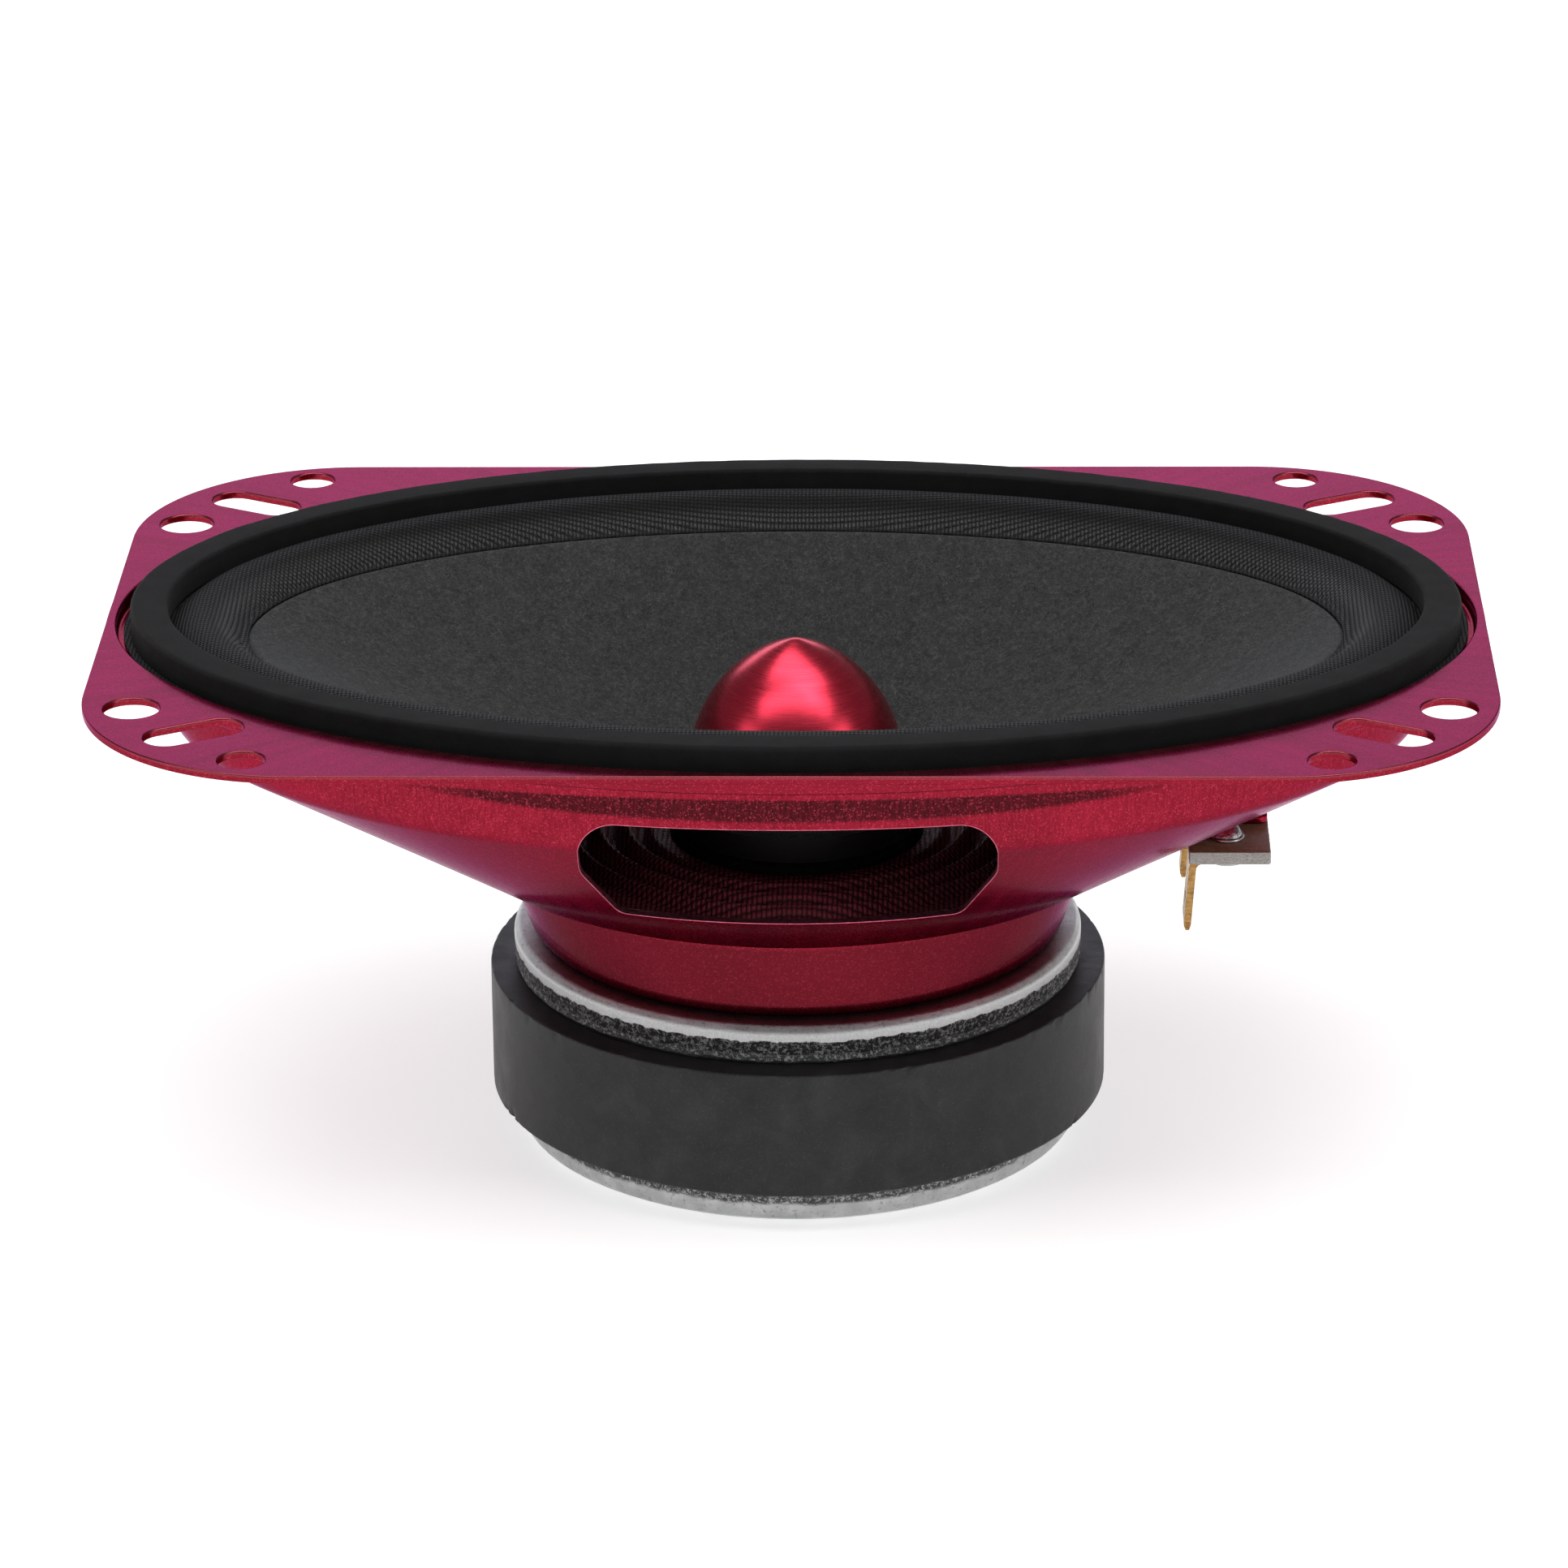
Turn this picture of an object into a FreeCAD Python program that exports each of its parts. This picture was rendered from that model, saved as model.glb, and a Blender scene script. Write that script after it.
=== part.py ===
import FreeCAD, Part
import os, math
import Sketcher
from FreeCAD import Vector, Placement, Rotation

# Oval 4 x 6 inch car speaker with a fixed bullet-shaped phase plug.
# Millimetres.  Origin: centre of the back plate's rear face, +Z towards the
# listener, +X along the long side of the flange.

doc = FreeCAD.newDocument("oval_speaker")
sheet = doc.addObject("Spreadsheet::Sheet", "Params")

CELLS = [
    # flange (stamped sheet, rounded rectangle)
    ("sheet_t", 0.9), ("flange_len", 154.0), ("flange_wid", 100.1), ("flange_corner", 24.5),
    ("flange_top", 60.6),
    ("hole_a_x", 71.25), ("hole_a_y", 29.9), ("hole_a_r", 3.08),
    ("hole_c_x", 57.9), ("hole_c_y", 45.2), ("hole_c_r", 2.55),
    ("slot_x", 63.8), ("slot_y", 37.0), ("slot_len", 11.3), ("slot_r", 2.6), ("slot_ang", 28.5),
    # oval sections: long half axis; the short half axis has its own cell
    ("recess_a", 76.0), ("recess_b", 48.8), ("recess_floor", 59.1),
    ("drum_a", 70.6), ("drum_b", 44.6), ("crease_z", 49.6),
    ("shoulder_a", 36.7), ("shoulder_b", 31.6), ("shoulder_z", 33.2),
    ("cup_top_a", 33.4), ("cup_top_b", 31.5), ("cup_bot_r", 30.0), ("cup_z", 24.0),
    ("cup_in_top", 29.3), ("cup_in_bot", 28.6), ("cup_hole", 17.5),
    # window in each long side of the bowl
    ("win_top", 52.2), ("win_bot", 37.5), ("win_half", 22.5), ("win_foot", 18.6), ("win_knee", 44.6),
    # motor
    ("magnet_rad", 35.0), ("magnet_bore", 16.5), ("yoke_t", 4.75), ("plate_z", 19.4),
    ("plate_rad", 32.25), ("plate_bore", 13.8), ("yoke_rad", 32.1), ("pole_rad", 12.35),
    ("pole_top", 24.0), ("yoke_bevel", 1.6), ("plate_round", 0.9),
    ("rivet_pcr", 23.2), ("rivet_rad", 2.0), ("rivet_head", 3.3), ("rivet_head_t", 1.1),
    # phase plug and its screw
    ("plug_rad", 12.2), ("plug_arc_z", 41.9), ("plug_arc_x", 4.0), ("plug_tip", 57.6),
    ("screw_rad", 2.5), ("screw_head", 4.4), ("screw_head_t", 2.4), ("washer_rad", 5.0), ("washer_t", 0.8),
    ("cbore_rad", 5.6), ("cbore_z", 3.6), ("screw_end", 34.0),
    # voice coil
    ("former_in", 12.75), ("former_out", 12.9), ("former_bot", 14.2), ("former_top", 40.6),
    ("wind_out", 13.35), ("wind_bot", 16.4), ("wind_top", 27.0),
    ("collar_out", 13.1), ("collar_bot", 28.0), ("collar_top", 38.6),
    ("wire_rad", 0.12), ("wire_pcr", 13.24),
    # cone and suspension
    ("edge_a", 61.2), ("edge_b", 34.0), ("edge_z", 58.1), ("rim_w", 1.5), ("paper_t", 0.7),
    ("neck_z", 39.0), ("roll_a", 69.9), ("roll_b", 42.7), ("roll_crest", 61.3), ("cloth_t", 0.4),
    ("land_a", 75.4), ("land_b", 48.2),
    ("gasket_a", 74.4), ("gasket_b", 47.0), ("gasket_in_a", 70.2), ("gasket_in_b", 43.0), ("gasket_top", 62.7),
    ("spider_z", 34.15), ("spider_out", 30.5), ("spider_in", 13.4), ("spider_t", 0.45), ("spider_amp", 0.9),
    # terminals
    ("board_x0", 44.0), ("board_x1", 53.2), ("board_half", 12.0), ("board_top", 36.5), ("board_t", 1.5),
    ("tongue_half", 3.6), ("eyelet_x", 48.4), ("eyelet_y", 7.4), ("eyelet_rad", 1.25),
    ("tab_t", 0.8), ("tab_end", 26.2), ("tab_wide", 4.8), ("tab_narrow", 2.8),
    ("lead_rad", 0.5),
]
for i, (name, value) in enumerate(CELLS):
    row = i + 1
    sheet.set("A%d" % row, name)
    sheet.set("B%d" % row, str(value))
    sheet.setAlias("B%d" % row, name)
doc.recompute()


def V(spec):
    """Number of a sum such as 'yoke_t + 2 - wire_rad' from the sheet."""
    total, sign = 0.0, 1.0
    for tok in str(spec).split():
        if tok == "+":
            sign = 1.0
        elif tok == "-":
            sign = -1.0
        else:
            neg = tok.startswith("-")
            word = tok[1:] if neg else tok
            if word[0].isalpha():
                num = float(sheet.get(word))
            else:
                num = float(word)
            total += sign * (-num if neg else num)
            sign = 1.0
    return total


def E(spec):
    """The same sum as an expression on the sheet's aliases."""
    out = []
    for tok in str(spec).split():
        if tok in "+-":
            out.append(tok)
        else:
            neg = tok.startswith("-")
            word = tok[1:] if neg else tok
            if word[0].isalpha():
                word = "Params." + word
            out.append(("-" if neg else "") + word)
    return " ".join(out)


def origin_plane(body, role):
    return [f for f in body.Origin.OriginFeatures if f.Role == role][0]


def bind(obj, prop, spec):
    obj.setExpression(prop, E(spec))


def outline(sk, pts):
    """Closed outline of straight lines, every corner tied to the sheet."""
    n = len(pts)
    xy = [(V(a), V(b)) for a, b in pts]
    for i in range(n):
        p, q = xy[i], xy[(i + 1) % n]
        sk.addGeometry(Part.LineSegment(Vector(p[0], p[1], 0), Vector(q[0], q[1], 0)), False)
    for i in range(n):
        sk.addConstraint(Sketcher.Constraint("Coincident", i, 2, (i + 1) % n, 1))
    for i, (a, b) in enumerate(pts):
        place_point(sk, i, 1, a, b)


def place_point(sk, geo, pos, a, b):
    if str(a) == "0":
        sk.addConstraint(Sketcher.Constraint("PointOnObject", geo, pos, -2))
    else:
        c = sk.addConstraint(Sketcher.Constraint("DistanceX", -1, 1, geo, pos, V(a)))
        sk.setExpression("Constraints[%d]" % c, E(a))
    if str(b) == "0":
        sk.addConstraint(Sketcher.Constraint("PointOnObject", geo, pos, -1))
    else:
        c = sk.addConstraint(Sketcher.Constraint("DistanceY", -1, 1, geo, pos, V(b)))
        sk.setExpression("Constraints[%d]" % c, E(b))


def new_body(label):
    body = doc.addObject("PartDesign::Body", label.replace(".", "_"))
    body.Label = label
    return body


def new_sketch(body, name, role="XZ_Plane", z=None):
    sk = body.newObject("Sketcher::SketchObject", name)
    sk.AttachmentSupport = [(origin_plane(body, role), "")]
    sk.MapMode = "FlatFace"
    if z is not None:
        sk.AttachmentOffset = Placement(Vector(0, 0, V(z)), Rotation())
        sk.setExpression("AttachmentOffset.Base.z", E(z))
    return sk


def turned(label, pts):
    """A turned piece: outline (radius, height) revolved about Z."""
    body = new_body(label)
    sk = new_sketch(body, label + "_profile")
    outline(sk, pts)
    rev = body.newObject("PartDesign::Revolution", label + "_turn")
    rev.Profile = sk
    rev.ReferenceAxis = (sk, ["V_Axis"])
    rev.Angle = 360.0
    body.Tip = rev
    return body


def prism(label, pts, z, length, body=None, name=None):
    """A flat piece: outline in X, Y padded upwards from height z."""
    body = body or new_body(label)
    sk = new_sketch(body, (name or label) + "_outline", "XY_Plane", z)
    outline(sk, pts)
    pad = body.newObject("PartDesign::Pad", (name or label) + "_pad")
    pad.Profile = sk
    pad.Length = V(length)
    pad.setExpression("Length", E(length))
    body.Tip = pad
    return body


def cylinder(name, rad, z0, z1, x="0", y="0"):
    c = doc.addObject("Part::Cylinder", name)
    bind(c, "Radius", rad)
    c.Placement = Placement(Vector(V(x), V(y), V(z0)), Rotation())
    bind(c, "Placement.Base.z", z0)
    c.Height = V(z1) - V(z0)
    c.setExpression("Height", "(%s) - (%s)" % (E(z1), E(z0)))
    if x != "0":
        bind(c, "Placement.Base.x", x)
    if y != "0":
        bind(c, "Placement.Base.y", y)
    return c


def cone_frustum(name, rad0, rad1, z0, z1, x="0", y="0"):
    c = doc.addObject("Part::Cone", name)
    bind(c, "Radius1", rad0)
    bind(c, "Radius2", rad1)
    c.Placement = Placement(Vector(V(x), V(y), V(z0)), Rotation())
    bind(c, "Placement.Base.z", z0)
    c.Height = V(z1) - V(z0)
    c.setExpression("Height", "(%s) - (%s)" % (E(z1), E(z0)))
    if x != "0":
        bind(c, "Placement.Base.x", x)
    if y != "0":
        bind(c, "Placement.Base.y", y)
    return c


def box(name, x0, x1, y0, y1, z0, z1):
    b = doc.addObject("Part::Box", name)
    b.Placement = Placement(Vector(V(x0), V(y0), V(z0)), Rotation())
    for axis, lo, hi, prop in (("x", x0, x1, "Length"), ("y", y0, y1, "Width"), ("z", z0, z1, "Height")):
        bind(b, "Placement.Base." + axis, lo)
        setattr(b, prop, V(hi) - V(lo))
        b.setExpression(prop, "(%s) - (%s)" % (E(hi), E(lo)))
    return b


def cut(label, base, tool):
    c = doc.addObject("Part::Cut", label + "_cut")
    c.Base = base
    c.Tool = tool
    c.Label = label
    return c


def fuse(label, parts):
    f = doc.addObject("Part::MultiFuse", label + "_fuse")
    f.Shapes = parts
    f.Label = label
    return f


def group(label, parts):
    g = doc.addObject("Part::Compound", label + "_group")
    g.Links = parts
    g.Label = label
    return g


def solid_feature(label, shape):
    f = doc.addObject("Part::Feature", label)
    place = shape.Placement
    f.Shape = shape
    f.Label = label
    f.Placement = place
    return f


def oval(a, b, z):
    """Oval edge with half axes a (X) and b (Y); a circle is cut at the same place."""
    if abs(a - b) < 1e-6:
        c = Part.Circle(Vector(0, 0, z), Vector(0, 0, 1), a)
        return Part.Wire([c.toShape()])
    e = Part.Ellipse(Vector(a, 0, z), Vector(0, b, z), Vector(0, 0, z))
    return Part.Wire([e.toShape()])


def oval_ring(loop):
    """Solid whose radial section is the closed loop of (a, b, z) points, carried
    round the oval: every two neighbouring ovals are joined by one ruled face."""
    faces = []
    n = len(loop)
    wires = [oval(*p) for p in loop]
    for i in range(n):
        faces.append(Part.makeRuledSurface(wires[i].Edges[0], wires[(i + 1) % n].Edges[0]))
    shell = Part.Compound(faces)
    shell.sewShape()
    sh = shell.Shells[0] if shell.Shells else Part.Shell(shell.Faces)
    s = Part.Solid(sh)
    if s.Volume < 0:
        s.reverse()
    return s


def oval_plug(pts):
    """Solid through a stack of ovals with flat ends."""
    return Part.makeLoft([oval(*p) for p in pts], True, True)


def arc_pts(cx, cz, rad, a0, a1, n):
    return [(cx + rad * math.cos(math.radians(a0 + (a1 - a0) * i / n)),
             cz + rad * math.sin(math.radians(a0 + (a1 - a0) * i / n))) for i in range(n + 1)]


# ---------------------------------------------------------------- basket ---
t = V("sheet_t")
ra, rb = V("recess_a"), V("recess_b")
da, db = V("drum_a"), V("drum_b")
sa, sb = V("shoulder_a"), V("shoulder_b")
zt, zr, zc, zs, zf = V("flange_top"), V("recess_floor"), V("crease_z"), V("shoulder_z"), V("cup_z")

# Outer skin from the flange's underside down to the cup's floor, then the inner
# skin back up.  Bends are stepped in short facets; each is (a, b, z).
outer = []
outer += [(ra + t, rb + t, zt - t)]
outer += [(ra + t - u, rb + t - u, zr - t + w) for u, w in ((0.0, 1.0), (0.3, 0.3), (1.0, 0.0))]
outer += [(da + u, db + u, zr - t - w) for u, w in ((1.0, 0.0), (0.3, 0.3), (0.0, 1.0))]
# soft bend between the drum and the sloping bowl
k = 2.2
sl_a = (da - sa) / (zc - zs)
sl_b = (db - sb) / (zc - zs)
outer += [(da, db, zc + k), (da - 0.10 * k * sl_a, db - 0.10 * k * sl_b, zc + 0.30 * k),
          (da - 0.42 * k * sl_a, db - 0.42 * k * sl_b, zc - 0.25 * k), (da - k * sl_a, db - k * sl_b, zc - k)]
outer += [(sa, sb, zs)]
ca, cb, cr = V("cup_top_a"), V("cup_top_b"), V("cup_bot_r")
outer += [(ca, cb, zs - 0.05)]
outer += [(cr, cr, zf + 2.0), (cr - 0.55, cr - 0.55, zf + 0.7), (cr - 1.8, cr - 1.8, zf)]
outer += [(V("cup_hole"), V("cup_hole"), zf)]
inner = [(V("cup_hole"), V("cup_hole"), zf + t)]
ci, cj = V("cup_in_top"), V("cup_in_bot")
inner += [(cj - 1.2, cj - 1.2, zf + t), (cj - 0.3, cj - 0.3, zf + t + 0.4), (cj, cj, zf + t + 1.4)]
inner += [(ci, ci, zs + t)]
# flat landing for the spider, then the inside of the bowl
ia, ib = sa - 1.0, sb - 0.75
inner += [(ia, ib, zs + t)]
inner += [(da - t - k * sl_a * 0.96, db - t - k * sl_b * 0.96, zc - k + 0.3),
          (da - t - 0.40 * k * sl_a, db - t - 0.40 * k * sl_b, zc - 0.25 * k + 0.3),
          (da - t - 0.08 * k * sl_a, db - t - 0.08 * k * sl_b, zc + 0.30 * k + 0.3), (da - t, db - t, zc + k)]
inner += [(da - t, db - t, zr - 0.7), (da - t + 0.2, db - t + 0.2, zr - 0.2), (da - t + 0.7, db - t + 0.7, zr)]
inner += [(ra - 0.6, rb - 0.6, zr), (ra - 0.15, rb - 0.15, zr + 0.15), (ra, rb, zr + 0.5)]
inner += [(ra, rb, zt - 0.6), (ra + 0.2, rb + 0.2, zt - 0.2), (ra + t, rb + t, zt)]
bowl = solid_feature("basket_bowl", oval_ring(outer + inner))

# flange plate: rounded rectangle with the oval mouth cut out of it
flange = new_body("flange_plate")
sk = new_sketch(flange, "flange_outline", "XY_Plane", "flange_top - sheet_t")
hx, hy, cr_ = V("flange_len") / 2, V("flange_wid") / 2, V("flange_corner")
cxx, cyy = hx - cr_, hy - cr_
geo = [Part.LineSegment(Vector(-cxx, -hy, 0), Vector(cxx, -hy, 0)),
       Part.ArcOfCircle(Part.Circle(Vector(cxx, -cyy, 0), Vector(0, 0, 1), cr_), -math.pi / 2, 0),
       Part.LineSegment(Vector(hx, -cyy, 0), Vector(hx, cyy, 0)),
       Part.ArcOfCircle(Part.Circle(Vector(cxx, cyy, 0), Vector(0, 0, 1), cr_), 0, math.pi / 2),
       Part.LineSegment(Vector(cxx, hy, 0), Vector(-cxx, hy, 0)),
       Part.ArcOfCircle(Part.Circle(Vector(-cxx, cyy, 0), Vector(0, 0, 1), cr_), math.pi / 2, math.pi),
       Part.LineSegment(Vector(-hx, cyy, 0), Vector(-hx, -cyy, 0)),
       Part.ArcOfCircle(Part.Circle(Vector(-cxx, -cyy, 0), Vector(0, 0, 1), cr_), math.pi, 1.5 * math.pi)]
for g in geo:
    sk.addGeometry(g, False)
for i in range(8):
    sk.addConstraint(Sketcher.Constraint("Tangent", i, 2, (i + 1) % 8, 1))
for i in (0, 4):
    sk.addConstraint(Sketcher.Constraint("Horizontal", i))
for i in (2, 6):
    sk.addConstraint(Sketcher.Constraint("Vertical", i))
for i in (3, 5, 7):
    sk.addConstraint(Sketcher.Constraint("Equal", 1, i))
c = sk.addConstraint(Sketcher.Constraint("Radius", 1, cr_))
sk.setExpression("Constraints[%d]" % c, "Params.flange_corner")
c = sk.addConstraint(Sketcher.Constraint("DistanceX", -1, 1, 2, 1, hx))
sk.setExpression("Constraints[%d]" % c, "Params.flange_len / 2")
c = sk.addConstraint(Sketcher.Constraint("DistanceX", 6, 1, -1, 1, hx))
sk.setExpression("Constraints[%d]" % c, "Params.flange_len / 2")
c = sk.addConstraint(Sketcher.Constraint("DistanceY", -1, 1, 4, 1, hy))
sk.setExpression("Constraints[%d]" % c, "Params.flange_wid / 2")
c = sk.addConstraint(Sketcher.Constraint("DistanceY", 0, 1, -1, 1, hy))
sk.setExpression("Constraints[%d]" % c, "Params.flange_wid / 2")
pad = flange.newObject("PartDesign::Pad", "flange_pad")
pad.Profile = sk
pad.Length = t
pad.setExpression("Length", "Params.sheet_t")
flange.Tip = pad
mouth = solid_feature("flange_mouth", oval_plug([(ra + t, rb + t, zt - 3), (ra + t, rb + t, zt + 3)]))
flange_ring = cut("flange_ring", flange, mouth)

# terminal tongue: lanced out of the bowl's end and bent level over the board
tongue = box("terminal_tongue", "board_x0 - 1.2", "board_x1", "0 - tongue_half", "tongue_half",
             "board_top", "board_top + sheet_t")
basket_raw = fuse("basket_raw", [bowl, flange_ring, tongue])

tools = []
for sx in (1, -1):
    for sy in (1, -1):
        px, nx = ("hole_a_x", "") if sx > 0 else ("-hole_a_x", "")
        py = "hole_a_y" if sy > 0 else "-hole_a_y"
        tools.append(cylinder("hole_a_%d%d" % (sx > 0, sy > 0), "hole_a_r", "flange_top - 3", "flange_top + 3", px, py))
        qx = "hole_c_x" if sx > 0 else "-hole_c_x"
        qy = "hole_c_y" if sy > 0 else "-hole_c_y"
        tools.append(cylinder("hole_c_%d%d" % (sx > 0, sy > 0), "hole_c_r", "flange_top - 3", "flange_top + 3", qx, qy))
        # slot, long axis pointing at the centre of the speaker
        L, r = V("slot_len"), V("slot_r")
        e = L / 2 - r
        w = Part.Wire([Part.LineSegment(Vector(-e, -r, 0), Vector(e, -r, 0)).toShape(),
                       Part.Arc(Vector(e, -r, 0), Vector(e + r, 0, 0), Vector(e, r, 0)).toShape(),
                       Part.LineSegment(Vector(e, r, 0), Vector(-e, r, 0)).toShape(),
                       Part.Arc(Vector(-e, r, 0), Vector(-e - r, 0, 0), Vector(-e, -r, 0)).toShape()])
        s = Part.Face(w).extrude(Vector(0, 0, 6))
        s.rotate(Vector(0, 0, 0), Vector(0, 0, 1), sx * sy * V("slot_ang"))
        s.translate(Vector(sx * V("slot_x"), sy * V("slot_y"), zt - 3))
        tools.append(solid_feature("slot_%d%d" % (sx > 0, sy > 0), s))


def rounded_poly(pts, radii):
    """Wire through pts (x, z) with each corner rounded by its radius."""
    n = len(pts)
    edges, last, first = [], None, None
    for i in range(n):
        p0, p1, p2 = Vector(*pts[i - 1]), Vector(*pts[i]), Vector(*pts[(i + 1) % n])
        u = (p0 - p1).normalize()
        v = (p2 - p1).normalize()
        half = math.acos(max(-1, min(1, u.dot(v)))) / 2
        d = radii[i] / math.tan(half)
        a, b = p1 + u * d, p1 + v * d
        bis = (u + v).normalize()
        mid = p1 + bis * (radii[i] / math.sin(half) - radii[i])
        if last is not None:
            edges.append(Part.LineSegment(last, a).toShape())
        else:
            first = a
        edges.append(Part.Arc(a, mid, b).toShape())
        last = b
    edges.append(Part.LineSegment(last, first).toShape())
    return Part.Wire(edges)


wh, wf, wk = V("win_half"), V("win_foot"), V("win_knee")
wt_, wb = V("win_top"), V("win_bot")
prof = [(-wh, 0, wt_), (wh, 0, wt_), (wh, 0, wk), (wf, 0, wb), (-wf, 0, wb), (-wh, 0, wk)]
wire = rounded_poly(prof, [4.2, 4.2, 4.0, 1.6, 1.6, 4.0])
win = Part.Face(wire).extrude(Vector(0, 40, 0))
wf_ = win.copy()
wf_.translate(Vector(0, -65, 0))
wb_ = win.copy()
wb_.translate(Vector(0, 25, 0))
tools.append(solid_feature("window_front_tool", wf_))
tools.append(solid_feature("window_back_tool", wb_))
for i in range(4):
    ang = math.radians(45 + 90 * i)
    c = cylinder("floor_hole_%d" % i, "rivet_rad", "cup_z - 1", "cup_z + 2")
    c.setExpression("Placement.Base.x", "Params.rivet_pcr * cos(%d deg)" % (45 + 90 * i))
    c.setExpression("Placement.Base.y", "Params.rivet_pcr * sin(%d deg)" % (45 + 90 * i))
    tools.append(c)
# the opening that the tongue leaves in the bowl's end, where the tinsel leads
# come out, and the rivet hole in the tongue
tools.append(box("lance_opening", "38", "52", "-8.2", "8.2", "board_top + sheet_t + 0.1", "41.3"))
tools.append(cylinder("tongue_hole", "eyelet_rad", "board_top - 1", "board_top + 3", "eyelet_x + 1.6", "0"))
basket = cut("basket", basket_raw, group("basket_tools", tools))

# ---------------------------------------------------------------- motor ----
yoke = turned("t_yoke", [
    ("screw_rad + 0.2", "cbore_z"), ("cbore_rad", "cbore_z"), ("cbore_rad", "0"),
    ("yoke_rad - yoke_bevel", "0"), ("yoke_rad - 0.35", "0.8"), ("yoke_rad", "1.9"),
    ("yoke_rad", "yoke_t - 0.5"), ("yoke_rad - 0.3", "yoke_t"),
    ("pole_rad + 1.4", "yoke_t"), ("pole_rad + 0.3", "yoke_t + 1.1"), ("pole_rad", "yoke_t + 2.4"),
    ("pole_rad", "pole_top - 0.5"), ("pole_rad - 0.5", "pole_top"), ("screw_rad + 0.2", "pole_top")])
magnet = turned("magnet", [
    ("magnet_bore", "yoke_t"), ("magnet_rad - 0.35", "yoke_t"), ("magnet_rad", "yoke_t + 0.35"),
    ("magnet_rad", "plate_z - 0.35"), ("magnet_rad - 0.35", "plate_z"), ("magnet_bore", "plate_z")])
plate_turn = turned("top_plate_blank", [
    ("plate_bore", "plate_z"), ("plate_rad - 0.9", "plate_z"), ("plate_rad - 0.2", "plate_z + 0.5"),
    ("plate_rad", "plate_z + 1.5"), ("plate_rad", "cup_z - 1.1"), ("plate_rad - 0.3", "cup_z - 0.4"),
    ("plate_rad - plate_round", "cup_z"), ("plate_bore", "cup_z")])
pits = []
for i in range(4):
    c = cylinder("plate_pit_%d" % i, "rivet_rad", "cup_z - 2.6", "cup_z + 1")
    c.setExpression("Placement.Base.x", "Params.rivet_pcr * cos(%d deg)" % (45 + 90 * i))
    c.setExpression("Placement.Base.y", "Params.rivet_pcr * sin(%d deg)" % (45 + 90 * i))
    pits.append(c)
top_plate = cut("top_plate", plate_turn, group("plate_pits", pits))

rivs = []
for i in range(4):
    sh = cylinder("riv_shank_%d" % i, "rivet_rad", "cup_z - 2.6", "cup_z + sheet_t")
    hd = cone_frustum("riv_head_%d" % i, "rivet_head", "rivet_head - 1.2", "cup_z + sheet_t", "cup_z + sheet_t + rivet_head_t")
    for o in (sh, hd):
        o.setExpression("Placement.Base.x", "Params.rivet_pcr * cos(%d deg)" % (45 + 90 * i))
        o.setExpression("Placement.Base.y", "Params.rivet_pcr * sin(%d deg)" % (45 + 90 * i))
    rivs.append(fuse("riv_%d" % i, [sh, hd]))
basket_rivets = group("basket_rivets", rivs)

# ---------------------------------------------------- phase plug and screw --
plug = new_body("phase_plug")
sk = new_sketch(plug, "phase_plug_profile")
pr, az, ax, tip = V("plug_rad"), V("plug_arc_z"), V("plug_arc_x"), V("plug_tip")
arc_r = pr + ax
zt_arc = az + math.sqrt(arc_r ** 2 - ax ** 2)
a1 = math.atan2(zt_arc - az, ax)
ogive = []
for i in range(13):
    q = a1 * i / 12
    ogive.append(Vector(-ax + arc_r * math.cos(q), az + arc_r * math.sin(q), 0))
nose = Part.BSplineCurve()
nose.interpolate(Points=ogive, InitialTangent=Vector(0, 1, 0), FinalTangent=Vector(-math.sin(a1), math.cos(a1), 0))
sk.addGeometry(nose, False)
corner = [(pr, az), (pr, V("pole_top + 0.6")), (V("plug_rad - 0.6"), V("pole_top")), (V("screw_rad"), V("pole_top")),
          (V("screw_rad"), V("screw_end + 1")), (0, V("screw_end + 2.4")), (0, zt_arc)]
for i in range(6):
    sk.addGeometry(Part.LineSegment(Vector(corner[i][0], corner[i][1], 0), Vector(corner[i + 1][0], corner[i + 1][1], 0)), False)
sk.addConstraint(Sketcher.Constraint("Coincident", 0, 1, 1, 1))
for i in range(1, 6):
    sk.addConstraint(Sketcher.Constraint("Coincident", i, 2, i + 1, 1))
sk.addConstraint(Sketcher.Constraint("Coincident", 6, 2, 0, 2))
place_point(sk, 1, 1, "plug_rad", "plug_arc_z")
place_point(sk, 2, 1, "plug_rad", "pole_top + 0.6")
place_point(sk, 3, 1, "plug_rad - 0.6", "pole_top")
place_point(sk, 4, 1, "screw_rad", "pole_top")
place_point(sk, 5, 1, "screw_rad", "screw_end + 1")
place_point(sk, 6, 1, "0", "screw_end + 2.4")
sk.addConstraint(Sketcher.Constraint("PointOnObject", 6, 2, -2))
c = sk.addConstraint(Sketcher.Constraint("DistanceY", -1, 1, 6, 2, zt_arc))
sk.setExpression("Constraints[%d]" % c, "Params.plug_arc_z + sqrt((Params.plug_rad + Params.plug_arc_x) ^ 2 - Params.plug_arc_x ^ 2)")
rev = plug.newObject("PartDesign::Revolution", "phase_plug_turn")
rev.Profile = sk
rev.ReferenceAxis = (sk, ["V_Axis"])
rev.Angle = 360.0
plug.Tip = rev

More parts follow.
